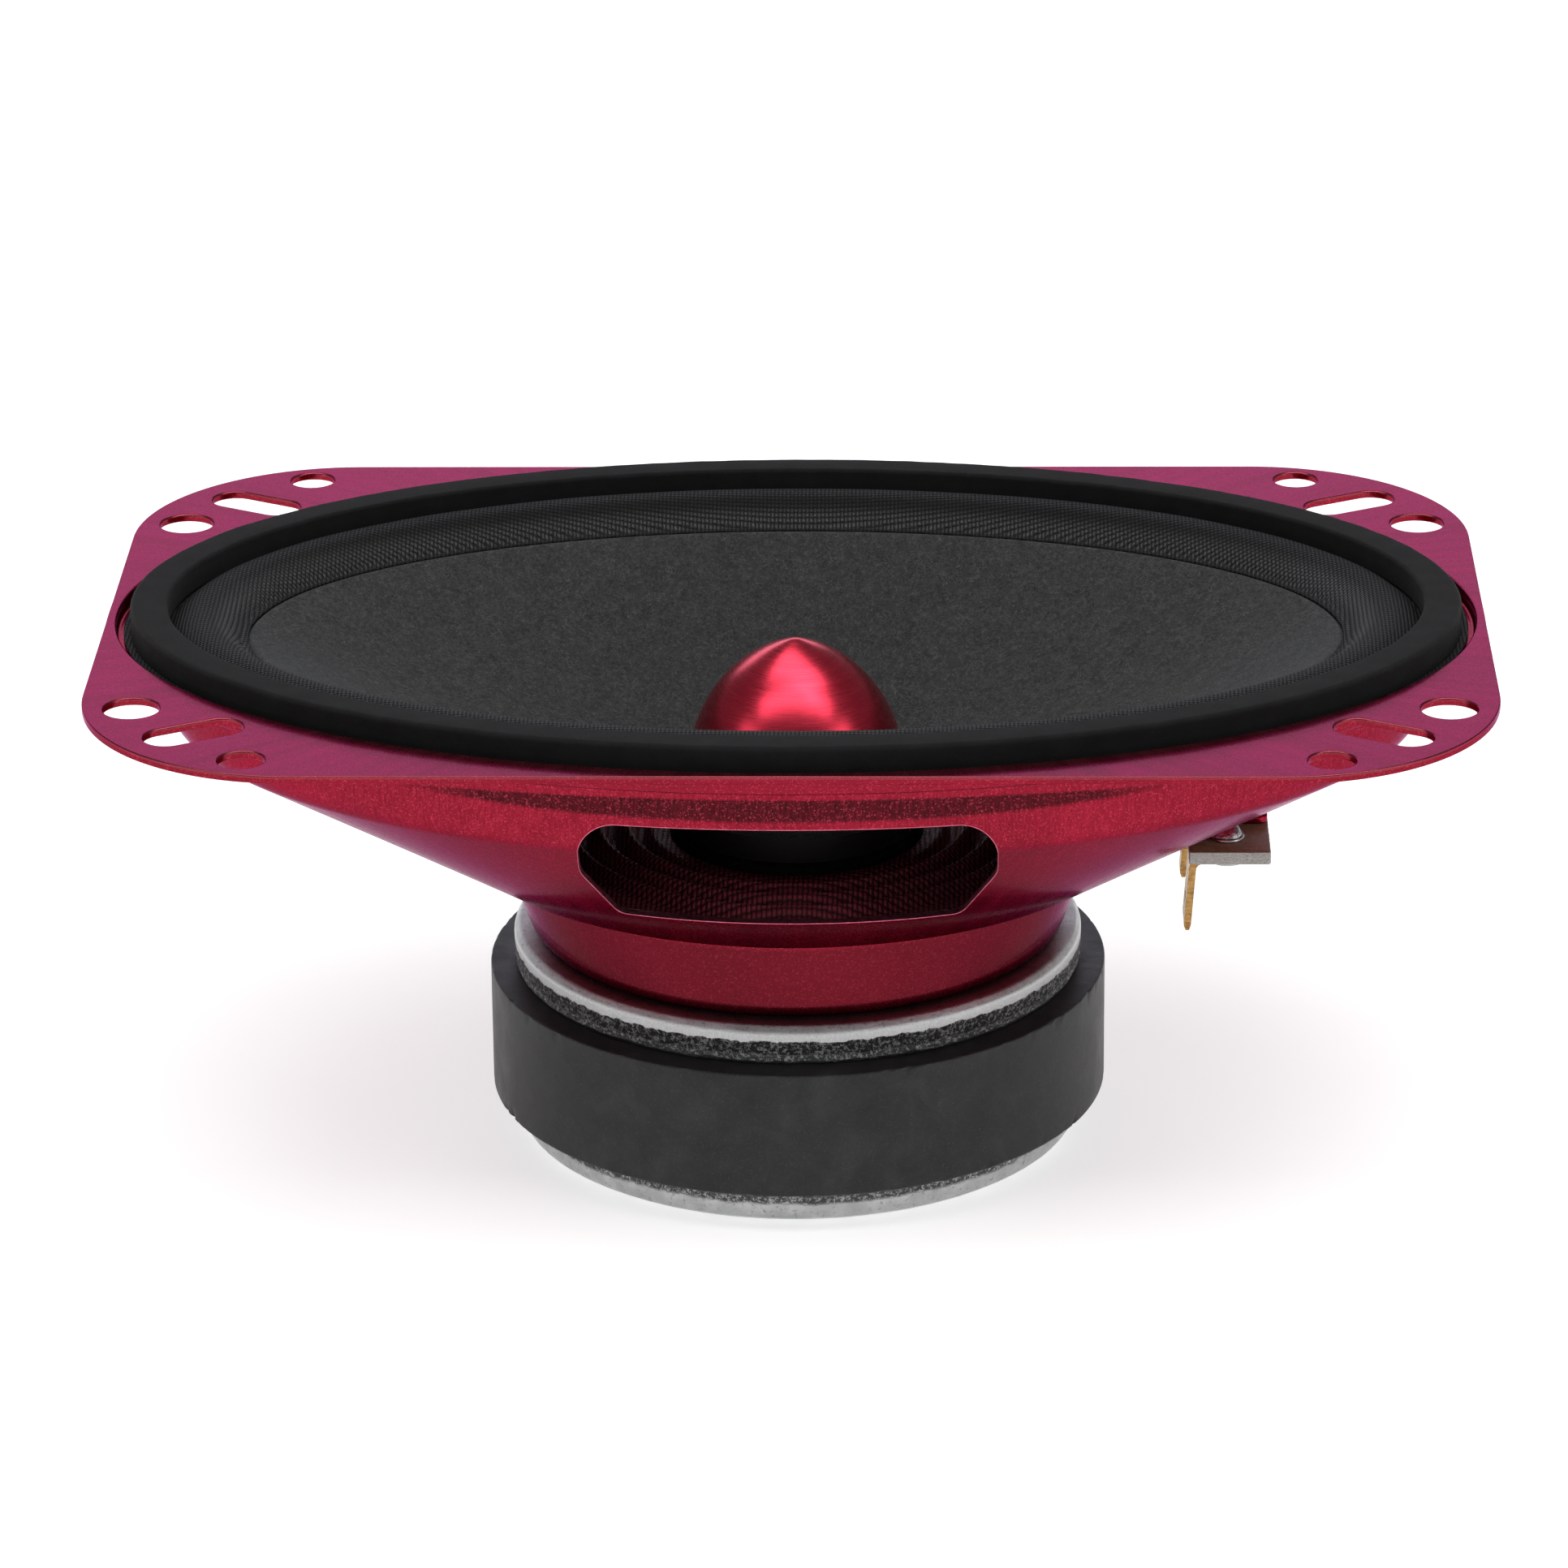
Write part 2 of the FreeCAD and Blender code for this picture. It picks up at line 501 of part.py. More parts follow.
washer = turned("plug_washer", [
    ("screw_rad + 0.15", "cbore_z - washer_t"), ("washer_rad", "cbore_z - washer_t"),
    ("washer_rad", "cbore_z"), ("screw_rad + 0.15", "cbore_z")])
screw_turn = turned("plug_screw_blank", [
    ("0", "cbore_z - washer_t - screw_head_t"), ("screw_head - 0.9", "cbore_z - washer_t - screw_head_t"),
    ("screw_head", "cbore_z - washer_t - screw_head_t + 0.9"), ("screw_head", "cbore_z - washer_t"),
    ("screw_rad", "cbore_z - washer_t"), ("screw_rad", "screw_end - 0.8"),
    ("screw_rad - 0.7", "screw_end"), ("0", "screw_end")])
drive = []
for ang in (0, 90):
    b = box("drive_%d" % ang, "-2.6", "2.6", "-0.5", "0.5", "-1", "cbore_z - washer_t - screw_head_t + 1.3")
    b.Placement = Placement(b.Placement.Base, b.Placement.Rotation)
    drive.append(b)
drive[1].setExpression("Placement.Base.x", "-0.5")
drive[1].setExpression("Placement.Base.y", "-2.6")
drive[1].setExpression("Length", "1.0")
drive[1].setExpression("Width", "5.2")
screw = cut("plug_screw", screw_turn, fuse("drive_cross", drive))

# ------------------------------------------------------------ voice coil ---
former = turned("voice_coil_former", [
    ("former_in", "former_bot"), ("former_out", "former_bot"), ("former_out", "former_top"), ("former_in", "former_top")])
winding = turned("voice_coil_winding", [
    ("former_out", "wind_bot"), ("wind_out", "wind_bot"), ("wind_out", "wind_top"), ("former_out", "wind_top")])
collar = turned("voice_coil_collar", [
    ("former_out", "collar_bot"), ("collar_out", "collar_bot"), ("collar_out", "collar_top"), ("former_out", "collar_top")])
wires = []
for sgn in (1, -1):
    w = cylinder("coil_wire_%d" % (sgn > 0), "wire_rad", "wind_top", "36.9")
    w.setExpression("Placement.Base.x", "Params.wire_pcr * cos(14 deg)")
    w.setExpression("Placement.Base.y", "%d * Params.wire_pcr * sin(14 deg)" % sgn)
    wires.append(w)
coil_wires = group("coil_lead_wires", wires)
blobs = []
for sgn in (1, -1):
    b = doc.addObject("Part::Sphere", "coil_blob_%d" % (sgn > 0))
    b.Radius = 0.75
    b.Placement = Placement(Vector(0, 0, 37.6), Rotation())
    b.setExpression("Placement.Base.x", "(Params.wire_pcr + 0.62) * cos(14 deg)")
    b.setExpression("Placement.Base.y", "%d * (Params.wire_pcr + 0.62) * sin(14 deg)" % sgn)
    blobs.append(b)
coil_joints = group("coil_solder_joints", blobs)

# ------------------------------------------------------------------ cone ---
ea, eb, ez = V("edge_a"), V("edge_b"), V("edge_z")
pt = V("paper_t")
nr, nz = V("collar_out"), V("neck_z")
fo = V("former_out")
# front skin from the neck to the rim, gently flaring, then the back skin
front, back = [], []
N = 10
for i in range(N + 1):
    s = i / N
    bow = 1.1 * math.sin(math.pi * s)
    front.append((fo + 0.35 + (ea - 0.9 - fo - 0.35) * s, fo + 0.35 + (eb - 0.9 - fo - 0.35) * s, nz + 0.75 + (ez - 0.05 - nz - 0.75) * s - bow))
for a, b, z in reversed(front):
    back.append((a + 0.26, b + 0.26, z - pt))
rim = [(ea - 0.45, eb - 0.45, ez + 0.12), (ea - 0.1, eb - 0.1, ez + 0.05),
       (ea + 0.05, eb + 0.05, ez - 0.25), (ea + V("rim_w"), eb + V("rim_w"), ez - 0.25),
       (ea + V("rim_w"), eb + V("rim_w"), ez - 0.85), (ea - 0.2, eb - 0.2, ez - 0.85)]
neck = [(fo, fo, nz - 0.35), (fo, fo, nz + 0.75)]
cone = solid_feature("cone", oval_ring(front + rim + back[:-1] + [(fo + 0.6, fo + 0.6, nz - 0.35)] + neck))

# glue fillet between the former and the cone's neck; its lower face follows the cone
gap = 0.02
bt_ = 0.14
fill_pt = [front[0][j] + bt_ * (front[1][j] - front[0][j]) for j in range(3)]
bead = solid_feature("neck_adhesive_bead", oval_ring([
    (fo, fo, nz + 0.75 + gap), (fo + 0.35, fo + 0.35, nz + 0.75 + gap),
    (fill_pt[0], fill_pt[1], fill_pt[2] + gap), (fo + 0.45, fo + 0.37, nz + 1.28), (fo, fo, nz + 1.5)]))

# ------------------------------------------------------- surround (cloth) --
la, lb = V("land_a"), V("land_b")
oa, ob = V("roll_a"), V("roll_b")
ct = V("cloth_t")
crest = V("roll_crest")
z_out = zr + ct
# upper skin runs inwards: landing, half roll, glued strip on the cone's rim
up = [(la, lb, z_out), (oa, ob, z_out)]
ia_, ib_ = ea + 0.9, eb + 0.9
z_in = ez - 0.25 + 0.03 + ct
NR = 14
for i in range(1, NR):
    s = i / NR
    base = z_out + (z_in - z_out) * s
    lift = (crest - 0.5 * (z_out + z_in)) * math.sin(math.pi * s) ** 0.75
    up.append((oa + (ia_ - oa) * s, ob + (ib_ - ob) * s, base + lift))
up += [(ia_, ib_, z_in), (ea + 0.1, eb + 0.1, z_in)]
low = []
for j in range(len(up) - 1, -1, -1):
    a, b, z = up[j]
    if j in (0, 1, len(up) - 1, len(up) - 2):
        low.append((a, b, z - ct))
    else:
        p, q = up[j - 1], up[j + 1]
        dx, dz = q[0] - p[0], q[2] - p[2]
        ln = math.hypot(dx, dz)
        # normal to the skin, pointing down and inwards to the roll's hollow
        off = (-dz / ln * ct * -1.0, -abs(dx) / ln * ct)
        low.append((a - off[0] if dz > 0 else a - off[0], b - off[0], z + off[1]))
surround = solid_feature("surround", oval_ring(up + low))

gz = V("recess_floor") + ct
ga, gb, ha, hb, gt = V("gasket_a"), V("gasket_b"), V("gasket_in_a"), V("gasket_in_b"), V("gasket_top")
gasket = solid_feature("foam_gasket", oval_ring([
    (ha, hb, gz), (ga, gb, gz), (ga, gb, gt - 0.25), (ga - 0.25, gb - 0.25, gt),
    (ha + 0.25, hb + 0.25, gt), (ha, hb, gt - 0.25)]))

# ---------------------------------------------------------------- spider ---
sz, so, si, st, amp = V("spider_z"), V("spider_out"), V("spider_in"), V("spider_t"), V("spider_amp")
zb = sz + 0.0
r_in_flat, r_out_flat = 15.2, 27.9
rolls = 4
M = 48
top_pts, bot_pts = [(si, zb + st)], [(si, zb)]
for i in range(M + 1):
    s = i / M
    r = r_in_flat + (r_out_flat - r_in_flat) * s
    w = amp * math.sin(2 * math.pi * rolls * s) * min(1.0, 6 * s, 6 * (1 - s))
    top_pts.append((r, zb + st + w + 0.35 * math.sin(math.pi * s)))
    bot_pts.append((r, zb + w + 0.35 * math.sin(math.pi * s)))
top_pts.append((so, zb + st))
bot_pts.append((so, zb))
poly = [Vector(r, 0, z) for r, z in top_pts] + [Vector(r, 0, z) for r, z in reversed(bot_pts)]
poly.append(poly[0])
spider = solid_feature("spider", Part.Face(Part.makePolygon(poly)).revolve(Vector(0, 0, 0), Vector(0, 0, 1), 360))
bead_ring = turned("spider_bead_ring", [
    ("collar_out", "spider_z + spider_t + 0.05"), ("collar_out + 1.3", "spider_z + spider_t + 0.05"),
    ("collar_out + 0.5", "spider_z + spider_t + 0.75"), ("collar_out", "spider_z + spider_t + 1.05")])
# the two coil wires run up through the bead
ways = []
for sgn in (1, -1):
    w = cylinder("bead_way_%d" % (sgn > 0), "wire_rad + 0.06", "spider_z", "spider_z + 3")
    w.setExpression("Placement.Base.x", "Params.wire_pcr * cos(14 deg)")
    w.setExpression("Placement.Base.y", "%d * Params.wire_pcr * sin(14 deg)" % sgn)
    ways.append(w)
spider_bead = cut("spider_adhesive_bead", bead_ring, group("bead_ways", ways))

# ------------------------------------------------------------- terminals ---
board_raw = box("board_raw", "board_x0", "board_x1", "0 - board_half", "board_half", "board_top - board_t", "board_top")
bt = [cylinder("board_hole_mid", "eyelet_rad", "board_top - 3", "board_top + 1", "eyelet_x + 1.6", "0")]
for s in (1, -1):
    bt.append(cylinder("board_hole_%d" % (s > 0), "eyelet_rad", "board_top - 3", "board_top + 1", "eyelet_x",
                       "eyelet_y" if s > 0 else "-eyelet_y"))
board = cut("terminal_board", board_raw, group("board_holes", bt))


def tab(label, yc, width):
    """Flat brass tab under the board, bent down into a push-on blade."""
    tt = V("tab_t")
    x1, zb_ = V("board_x0") + 7.6, V("board_top") - V("board_t")
    xk = V("board_x0") + 0.9
    lean = 0.5
    zend = V("tab_end")
    pts = [Vector(x1, 0, zb_), Vector(xk - 0.3, 0, zb_)]
    p = [Vector(x1, 0, zb_), Vector(xk + 0.55, 0, zb_)]
    arc1 = Part.Arc(Vector(xk + 0.55, 0, zb_), Vector(xk - 0.42, 0, zb_ - 0.40), Vector(xk - 0.80, 0, zb_ - 1.3))
    leg_out_top = Vector(xk - 0.80, 0, zb_ - 1.3)
    leg_out_bot = Vector(xk - 0.80 - lean, 0, zend + 0.6)
    tip_l = Vector(xk - 0.80 - lean + 0.2, 0, zend)
    tip_r = Vector(xk - lean - 0.2, 0, zend)
    leg_in_bot = Vector(xk - lean, 0, zend + 0.6)
    leg_in_top = Vector(xk, 0, zb_ - 1.5)
    arc2 = Part.Arc(leg_in_top, Vector(xk + 0.22, 0, zb_ - 1.02), Vector(xk + 0.7, 0, zb_ - tt))
    w = Part.Wire([Part.LineSegment(p[0], p[1]).toShape(), arc1.toShape(),
                   Part.LineSegment(leg_out_top, leg_out_bot).toShape(), Part.LineSegment(leg_out_bot, tip_l).toShape(),
                   Part.LineSegment(tip_l, tip_r).toShape(), Part.LineSegment(tip_r, leg_in_bot).toShape(),
                   Part.LineSegment(leg_in_bot, leg_in_top).toShape(), arc2.toShape(),
                   Part.LineSegment(Vector(xk + 0.7, 0, zb_ - tt), Vector(x1, 0, zb_ - tt)).toShape(),
                   Part.LineSegment(Vector(x1, 0, zb_ - tt), Vector(x1, 0, zb_)).toShape()])
    s = Part.Face(w).extrude(Vector(0, width, 0))
    s.translate(Vector(0, yc - width / 2, 0))
    hole = Part.makeCylinder(V("eyelet_rad"), 6, Vector(V("eyelet_x"), yc, zb_ - 4))
    lock = Part.makeCylinder(0.7, 12, Vector(xk - 6, yc, zend + 3.2), Vector(1, 0, 0))
    return solid_feature(label, s.cut(hole).cut(lock))


term_neg = tab("terminal_negative", -V("eyelet_y"), V("tab_wide"))
term_pos = tab("terminal_positive", V("eyelet_y"), V("tab_narrow") + 0.4)


def eyelet(name, x, y, ztop, zbot):
    body = cylinder(name + "_shank", "eyelet_rad", zbot, ztop, x, y)
    low_ = cone_frustum(name + "_low", "eyelet_rad - 0.35", "eyelet_rad + 0.75", zbot + " - 0.6", zbot, x, y)
    up_ = cone_frustum(name + "_up", "eyelet_rad + 0.75", "eyelet_rad + 0.1", ztop, ztop + " + 0.5", x, y)
    return fuse(name, [body, low_, up_])


eyelets = group("terminal_eyelets", [
    eyelet("eyelet_neg", "eyelet_x", "-eyelet_y", "board_top", "board_top - board_t - tab_t"),
    eyelet("eyelet_pos", "eyelet_x", "eyelet_y", "board_top", "board_top - board_t - tab_t")])
board_rivet = eyelet("board_rivet", "eyelet_x + 1.6", "0", "board_top + sheet_t", "board_top - board_t")
board_rivet.Label = "board_rivet"

joints = []
for s in (1, -1):
    b = cone_frustum("solder_%d" % (s > 0), "eyelet_rad + 0.55", "0.5", "board_top + 0.5", "board_top + 1.45", "eyelet_x",
                     "eyelet_y" if s > 0 else "-eyelet_y")
    joints.append(b)


# tinsel leads: runs joined by tangent arcs, from the coil joints under the cone
# out through the bowl's end to the eyelets
def lead(label, sgn):
    r = V("lead_rad")
    cx = (V("wire_pcr") + 0.62) * math.cos(math.radians(14))
    cy = sgn * (V("wire_pcr") + 0.62) * math.sin(math.radians(14))
    pts = [Vector(cx + 0.72, cy, 37.9), Vector(21.0, sgn * 4.2, 39.6), Vector(29.5, sgn * 5.4, 41.2),
           Vector(37.0, sgn * 6.5, 40.8), Vector(42.2, sgn * 6.6, 39.3), Vector(46.9, sgn * 7.1, V("board_top") + 1.9)]
    runs = [(pts[i + 1] - pts[i]).Length for i in range(len(pts) - 1)]
    edges, last, radii = [], pts[0], []
    for i in range(1, len(pts) - 1):
        u = (pts[i - 1] - pts[i]).normalize()
        v = (pts[i + 1] - pts[i]).normalize()
        turn = math.pi - math.acos(max(-1, min(1, u.dot(v))))
        rad = 0.45 * min(runs[i - 1], runs[i]) / math.tan(turn / 2)
        radii.append(rad)
        d = rad * math.tan(turn / 2)
        a, b = pts[i] + u * d, pts[i] + v * d
        bis = (u + v).normalize()
        mid = pts[i] + bis * (math.hypot(rad, d) - rad)
        edges.append(Part.LineSegment(last, a).toShape())
        edges.append(Part.Arc(a, mid, b).toShape())
        last = b
    edges.append(Part.LineSegment(last, pts[-1]).toShape())
    path = Part.Wire(edges)
    circ = Part.Wire([Part.Circle(pts[0], pts[1] - pts[0], r).toShape()])
    s = path.makePipeShell([circ], True, True)
    print(label, "length %.2f" % path.Length, "volume / (section x length) %.4f" % (s.Volume / (math.pi * r * r * path.Length)),
          "radii", [round(x, 1) for x in radii])
    return s


lead_neg_s = lead("tinsel_lead_negative", -1)
lead_pos_s = lead("tinsel_lead_positive", 1)
lead_neg = solid_feature("tinsel_lead_negative", lead_neg_s)
lead_pos = solid_feature("tinsel_lead_positive", lead_pos_s)
# the solder takes the end of each lead
solder = cut("solder_joints", group("solder_blobs", joints), group("lead_ends", [lead_neg, lead_pos]))

doc.recompute()

NODES = ["basket", "basket_rivets", "top_plate", "magnet", "t_yoke", "phase_plug", "plug_screw", "plug_washer",
         "voice_coil_former", "voice_coil_winding", "voice_coil_collar", "coil_lead_wires", "coil_solder_joints",
         "cone", "neck_adhesive_bead", "surround", "foam_gasket", "spider", "spider_adhesive_bead",
         "terminal_board", "terminal_negative", "terminal_positive", "terminal_eyelets", "board_rivet",
         "solder_joints", "tinsel_lead_negative", "tinsel_lead_positive"]

bad = []
for o in doc.Objects:
    if "Invalid" in o.State or "Error" in o.State:
        bad.append("%s %s" % (o.Name, o.State))
if bad:
    raise RuntimeError("failed objects: " + "; ".join(bad))

os.makedirs("parts", exist_ok=True)
for old in os.listdir("parts"):
    if old.endswith(".step"):
        os.remove(os.path.join("parts", old))
for n in NODES:
    found = [o for o in doc.Objects if o.Label == n and hasattr(o, "Shape")]
    if not found:
        raise RuntimeError("no object " + n)
    o = found[-1]
    s = o.Shape
    if s.isNull() or not s.isValid() or not s.Solids:
        raise RuntimeError("bad shape " + n)
    bb = s.BoundBox
    print("%-24s solids %d vol %9.2f  x %7.2f %7.2f  y %7.2f %7.2f  z %6.2f %6.2f" % (
        n, len(s.Solids), s.Volume, bb.XMin, bb.XMax, bb.YMin, bb.YMax, bb.ZMin, bb.ZMax))
    out = s if len(s.Solids) != 1 else s.Solids[0]
    out.exportStep(os.path.join("parts", n + ".step"))
print("written", len(NODES))
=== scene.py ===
import math

import bpy
import numpy as np
from mathutils import Matrix, Vector, noise
from mathutils.geometry import delaunay_2d_cdt


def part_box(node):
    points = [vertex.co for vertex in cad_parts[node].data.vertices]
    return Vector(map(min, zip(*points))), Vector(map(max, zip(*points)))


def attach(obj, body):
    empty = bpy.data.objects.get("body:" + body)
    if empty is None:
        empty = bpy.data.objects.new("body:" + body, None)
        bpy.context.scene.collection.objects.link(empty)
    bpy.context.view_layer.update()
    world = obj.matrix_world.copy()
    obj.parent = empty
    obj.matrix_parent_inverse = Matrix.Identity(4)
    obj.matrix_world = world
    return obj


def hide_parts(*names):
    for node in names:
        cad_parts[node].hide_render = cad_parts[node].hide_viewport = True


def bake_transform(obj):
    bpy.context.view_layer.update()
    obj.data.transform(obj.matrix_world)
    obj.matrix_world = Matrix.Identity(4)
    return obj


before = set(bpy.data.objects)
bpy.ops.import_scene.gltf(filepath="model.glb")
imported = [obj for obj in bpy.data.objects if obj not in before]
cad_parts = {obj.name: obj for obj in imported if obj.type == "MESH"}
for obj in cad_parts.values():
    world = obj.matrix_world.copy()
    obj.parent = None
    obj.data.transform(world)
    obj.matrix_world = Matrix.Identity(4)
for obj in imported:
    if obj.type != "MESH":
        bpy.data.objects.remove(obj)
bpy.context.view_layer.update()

MM = 0.001
TAU = 2 * math.pi

# ------------------------------------------------------------------ camera --
PITCH, ROLL, PSI = 0.37710, -0.00943, -0.02664
cam_data = bpy.data.cameras.new("camera")
cam_data.lens, cam_data.sensor_width = 163.716, 36.0
cam_data.clip_start, cam_data.clip_end = 0.01, 50.0
cam = bpy.data.objects.new("camera", cam_data)
bpy.context.scene.collection.objects.link(cam)
right = Vector((1, 0, 0))
up = Vector((0, math.sin(PITCH), math.cos(PITCH)))
fwd = Vector((0, math.cos(PITCH), -math.sin(PITCH)))
cx = right * math.cos(ROLL) + up * math.sin(ROLL)
cy = -right * math.sin(ROLL) + up * math.cos(ROLL)
turn = Matrix.Rotation(-PSI, 3, "Z")
rot = Matrix((turn @ cx, turn @ cy, turn @ -fwd)).transposed()
cam.matrix_world = Matrix.Translation((0.018556, -0.748972, 0.336685)) @ rot.to_4x4()
bpy.context.scene.camera = cam


# --------------------------------------------------------------- materials --
class Mat:
    """One principled material and short names for its nodes."""

    def __init__(self, name, **sockets):
        self.m = bpy.data.materials.new(name)
        self.m.use_nodes = True
        self.t = self.m.node_tree
        self.t.nodes.clear()
        self.o = self.t.nodes.new("ShaderNodeOutputMaterial")
        self.b = self.t.nodes.new("ShaderNodeBsdfPrincipled")
        self.t.links.new(self.b.outputs[0], self.o.inputs[0])
        self.tc = self.t.nodes.new("ShaderNodeTexCoord")
        self.mm = self.vmath("MULTIPLY", self.tc.outputs["Object"], (1000, 1000, 1000))
        for k, v in sockets.items():
            self.set(k.replace("_", " "), v)

    def set(self, name, value):
        s = self.b.inputs[name]
        if isinstance(value, bpy.types.NodeSocket):
            self.t.links.new(value, s)
        elif isinstance(value, tuple) and len(value) == 3 and s.type == "RGBA":
            s.default_value = (*value, 1)
        else:
            s.default_value = value

    def node(self, kind, ins, **props):
        n = self.t.nodes.new(kind)
        for k, v in props.items():
            setattr(n, k, v)
        for k, v in ins.items():
            s = n.inputs[k]
            if isinstance(v, bpy.types.NodeSocket):
                self.t.links.new(v, s)
            elif isinstance(v, tuple) and s.type == "RGBA" and len(v) == 3:
                s.default_value = (*v, 1)
            else:
                s.default_value = v
        return n

    def vmath(self, op, a, b=(0, 0, 0)):
        n = self.node("ShaderNodeVectorMath", {0: a, 1: b}, operation=op)
        return n.outputs[0]

    def math(self, op, a, b=0.0, c=0.0, clamp=False):
        return self.node("ShaderNodeMath", {0: a, 1: b, 2: c}, operation=op, use_clamp=clamp).outputs[0]

    def xyz(self, v):
        return self.node("ShaderNodeSeparateXYZ", {0: v}).outputs

    def comb(self, x, y, z):
        return self.node("ShaderNodeCombineXYZ", {0: x, 1: y, 2: z}).outputs[0]

    def noise(self, vec, scale, detail=3.0, rough=0.5, distort=0.0, out=0):
        return self.node("ShaderNodeTexNoise", {"Vector": vec, "Scale": scale, "Detail": detail, "Roughness": rough, "Distortion": distort}).outputs[out]

    def voronoi(self, vec, scale, feature="F1", out=0, rand=1.0):
        return self.node("ShaderNodeTexVoronoi", {"Vector": vec, "Scale": scale, "Randomness": rand}, feature=feature).outputs[out]

    def ramp(self, fac, stops, interp="LINEAR"):
        n = self.node("ShaderNodeValToRGB", {0: fac})
        r = n.color_ramp
        r.interpolation = interp
        while len(r.elements) < len(stops):
            r.elements.new(0.5)
        for e, (p, c) in zip(r.elements, stops):
            e.position = p
            e.color = (*c, 1) if isinstance(c, tuple) else (c, c, c, 1)
        return n.outputs[0]

    def rng(self, v, a, b, c, d):
        return self.node("ShaderNodeMapRange", {0: v, 1: a, 2: b, 3: c, 4: d}, clamp=True).outputs[0]

    def mix(self, f, a, b, mode="MIX"):
        n = self.node("ShaderNodeMix", {}, data_type="RGBA", blend_type=mode)
        for i, v in ((0, f), (6, a), (7, b)):
            s = n.inputs[i]
            if isinstance(v, bpy.types.NodeSocket):
                self.t.links.new(v, s)
            elif i and isinstance(v, tuple):
                s.default_value = (*v, 1)
            else:
                s.default_value = v
        return n.outputs[2]

    def mixf(self, f, a, b):
        n = self.node("ShaderNodeMix", {}, data_type="FLOAT")
        for i, v in ((0, f), (2, a), (3, b)):
            s = n.inputs[i]
            if isinstance(v, bpy.types.NodeSocket):
                self.t.links.new(v, s)
            else:
                s.default_value = v
        return n.outputs[0]

    def bump(self, height, strength, dist_mm, normal=None):
        ins = {"Height": height, "Strength": strength, "Distance": dist_mm * MM}
        if normal is not None:
            ins["Normal"] = normal
        return self.node("ShaderNodeBump", ins).outputs[0]


def crimson():
    """Metallic crimson lacquer on drawn sheet: fine flake, drawing streaks that
    run down the walls and a clear glossy film, with painted shade in the bend
    under the flange, along the crease under its edge and on the cup, and a
    painted cool reflection on the flange face."""
    g = Mat("red_metal", Metallic=0.96, Coat_Weight=0.13, Coat_Roughness=0.10, Coat_IOR=1.5)
    g.set("Specular Tint", (0.60, 0.26, 0.50))
    x, y, z = g.xyz(g.mm)
    around = g.vmath("NORMALIZE", g.comb(g.math("MULTIPLY", x, 0.64), y, 0.0))
    ax, ay, _ = g.xyz(g.vmath("MULTIPLY", around, (62, 62, 62)))
    streak_at = g.comb(ax, ay, g.math("MULTIPLY", z, 0.12))
    streak = g.noise(streak_at, 5.2, 4, 0.62)
    streak2 = g.noise(streak_at, 0.55, 2, 0.5)
    wall = g.math("MULTIPLY", g.rng(z, 44, 52, 0.25, 1.0), g.rng(z, 58.0, 58.6, 1.0, 0.03))
    flake = g.voronoi(g.mm, 7.0, out=1)
    fr, fg_, fb = g.node("ShaderNodeSeparateColor", {0: flake}).outputs[:3]
    cloud = g.noise(g.mm, 0.09, 3, 0.5)
    base = g.ramp(cloud, [(0.3, (0.172, 0.0036, 0.0130)), (0.7, (0.228, 0.0050, 0.0178))])
    # painted shade: a dark band in the bend under the flange, strongest at the front and back, thinning towards the
    # ends of the oval
    lens = g.math("SUBTRACT", 1.0, g.math("POWER", g.math("DIVIDE", g.math("ABSOLUTE", x), 44.0), 2.4), clamp=True)
    zt = g.math("ADD", 55.7, g.math("MULTIPLY", g.math("SUBTRACT", lens, 1.0), 1.6))
    low = g.math("ADD", 53.1, g.math("MULTIPLY", g.math("SUBTRACT", 1.0, lens), 1.1))
    painted_dark_band = g.math("MULTIPLY", g.rng(g.math("SUBTRACT", z, low), -0.15, 0.30, 0.0, 1.0), g.rng(g.math("SUBTRACT", zt, z), -0.12, 0.12, 0.0, 1.0))
    painted_dark_band = g.math("MULTIPLY", painted_dark_band, g.rng(lens, 0.05, 0.5, 0.0, 1.0))
    painted_dark_band = g.math("MULTIPLY", painted_dark_band, g.rng(streak, 0.30, 0.66, 1.0, 0.86))
    base = g.mix(g.math("MULTIPLY", painted_dark_band, 0.98), base, (0.030, 0.0006, 0.0018))
    # painted shade: a thin dark line along the crease under the flange edge, at the front and back of the oval
    painted_crease_line = g.math("MULTIPLY", g.rng(g.math("ABSOLUTE", g.math("SUBTRACT", z, 58.2)), 0.08, 0.24, 0.75, 0.0), g.rng(lens, 0.0, 0.3, 0.0, 1.0))
    base = g.mix(painted_crease_line, base, (0.040, 0.0010, 0.0035))
    tint = g.math("MULTIPLY", g.math("SUBTRACT", streak, 0.5), wall)
    base = g.mix(g.math("MULTIPLY", g.math("ADD", g.math("MULTIPLY", tint, 1.1), 0.10, clamp=True), g.math("SUBTRACT", 1.0, g.math("MULTIPLY", painted_dark_band, 0.8))), base, (0.52, 0.022, 0.060))
    base = g.mix(g.math("MULTIPLY", g.rng(fr, 0.80, 1.0, 0.0, 1.0), 0.30), base, (0.72, 0.07, 0.12))
    base = g.mix(g.math("MULTIPLY", g.rng(fr, 0.0, 0.2, 1.0, 0.0), 0.35), base, (0.11, 0.002, 0.008))
    # painted shade: the cup under the shoulder is coloured darker
    base = g.mix(g.rng(z, 32.6, 33.3, 0.50, 0.0), base, (0.030, 0.0006, 0.0022))
    # painted reflection: the open face of the flange is coloured paler and cooler, for the bluish light it reflects
    base = g.mix(g.rng(z, 60.2, 60.5, 0.0, 0.42), base, (0.30, 0.090, 0.105))
    g.set("Base Color", base)
    rough = g.math("ADD", g.rng(streak2, 0.3, 0.7, 0.20, 0.28), g.math("MULTIPLY", fg_, 0.05))
    g.set("Roughness", rough)
    flakes = g.bump(fb, 0.2, 0.02)
    lines = g.bump(g.math("MULTIPLY", streak, wall), 0.5, 0.035, flakes)
    g.set("Normal", lines)
    g.set("Coat Normal", g.bump(g.noise(g.mm, 1.4, 2, 0.5), 0.10, 0.03))
    return g.m


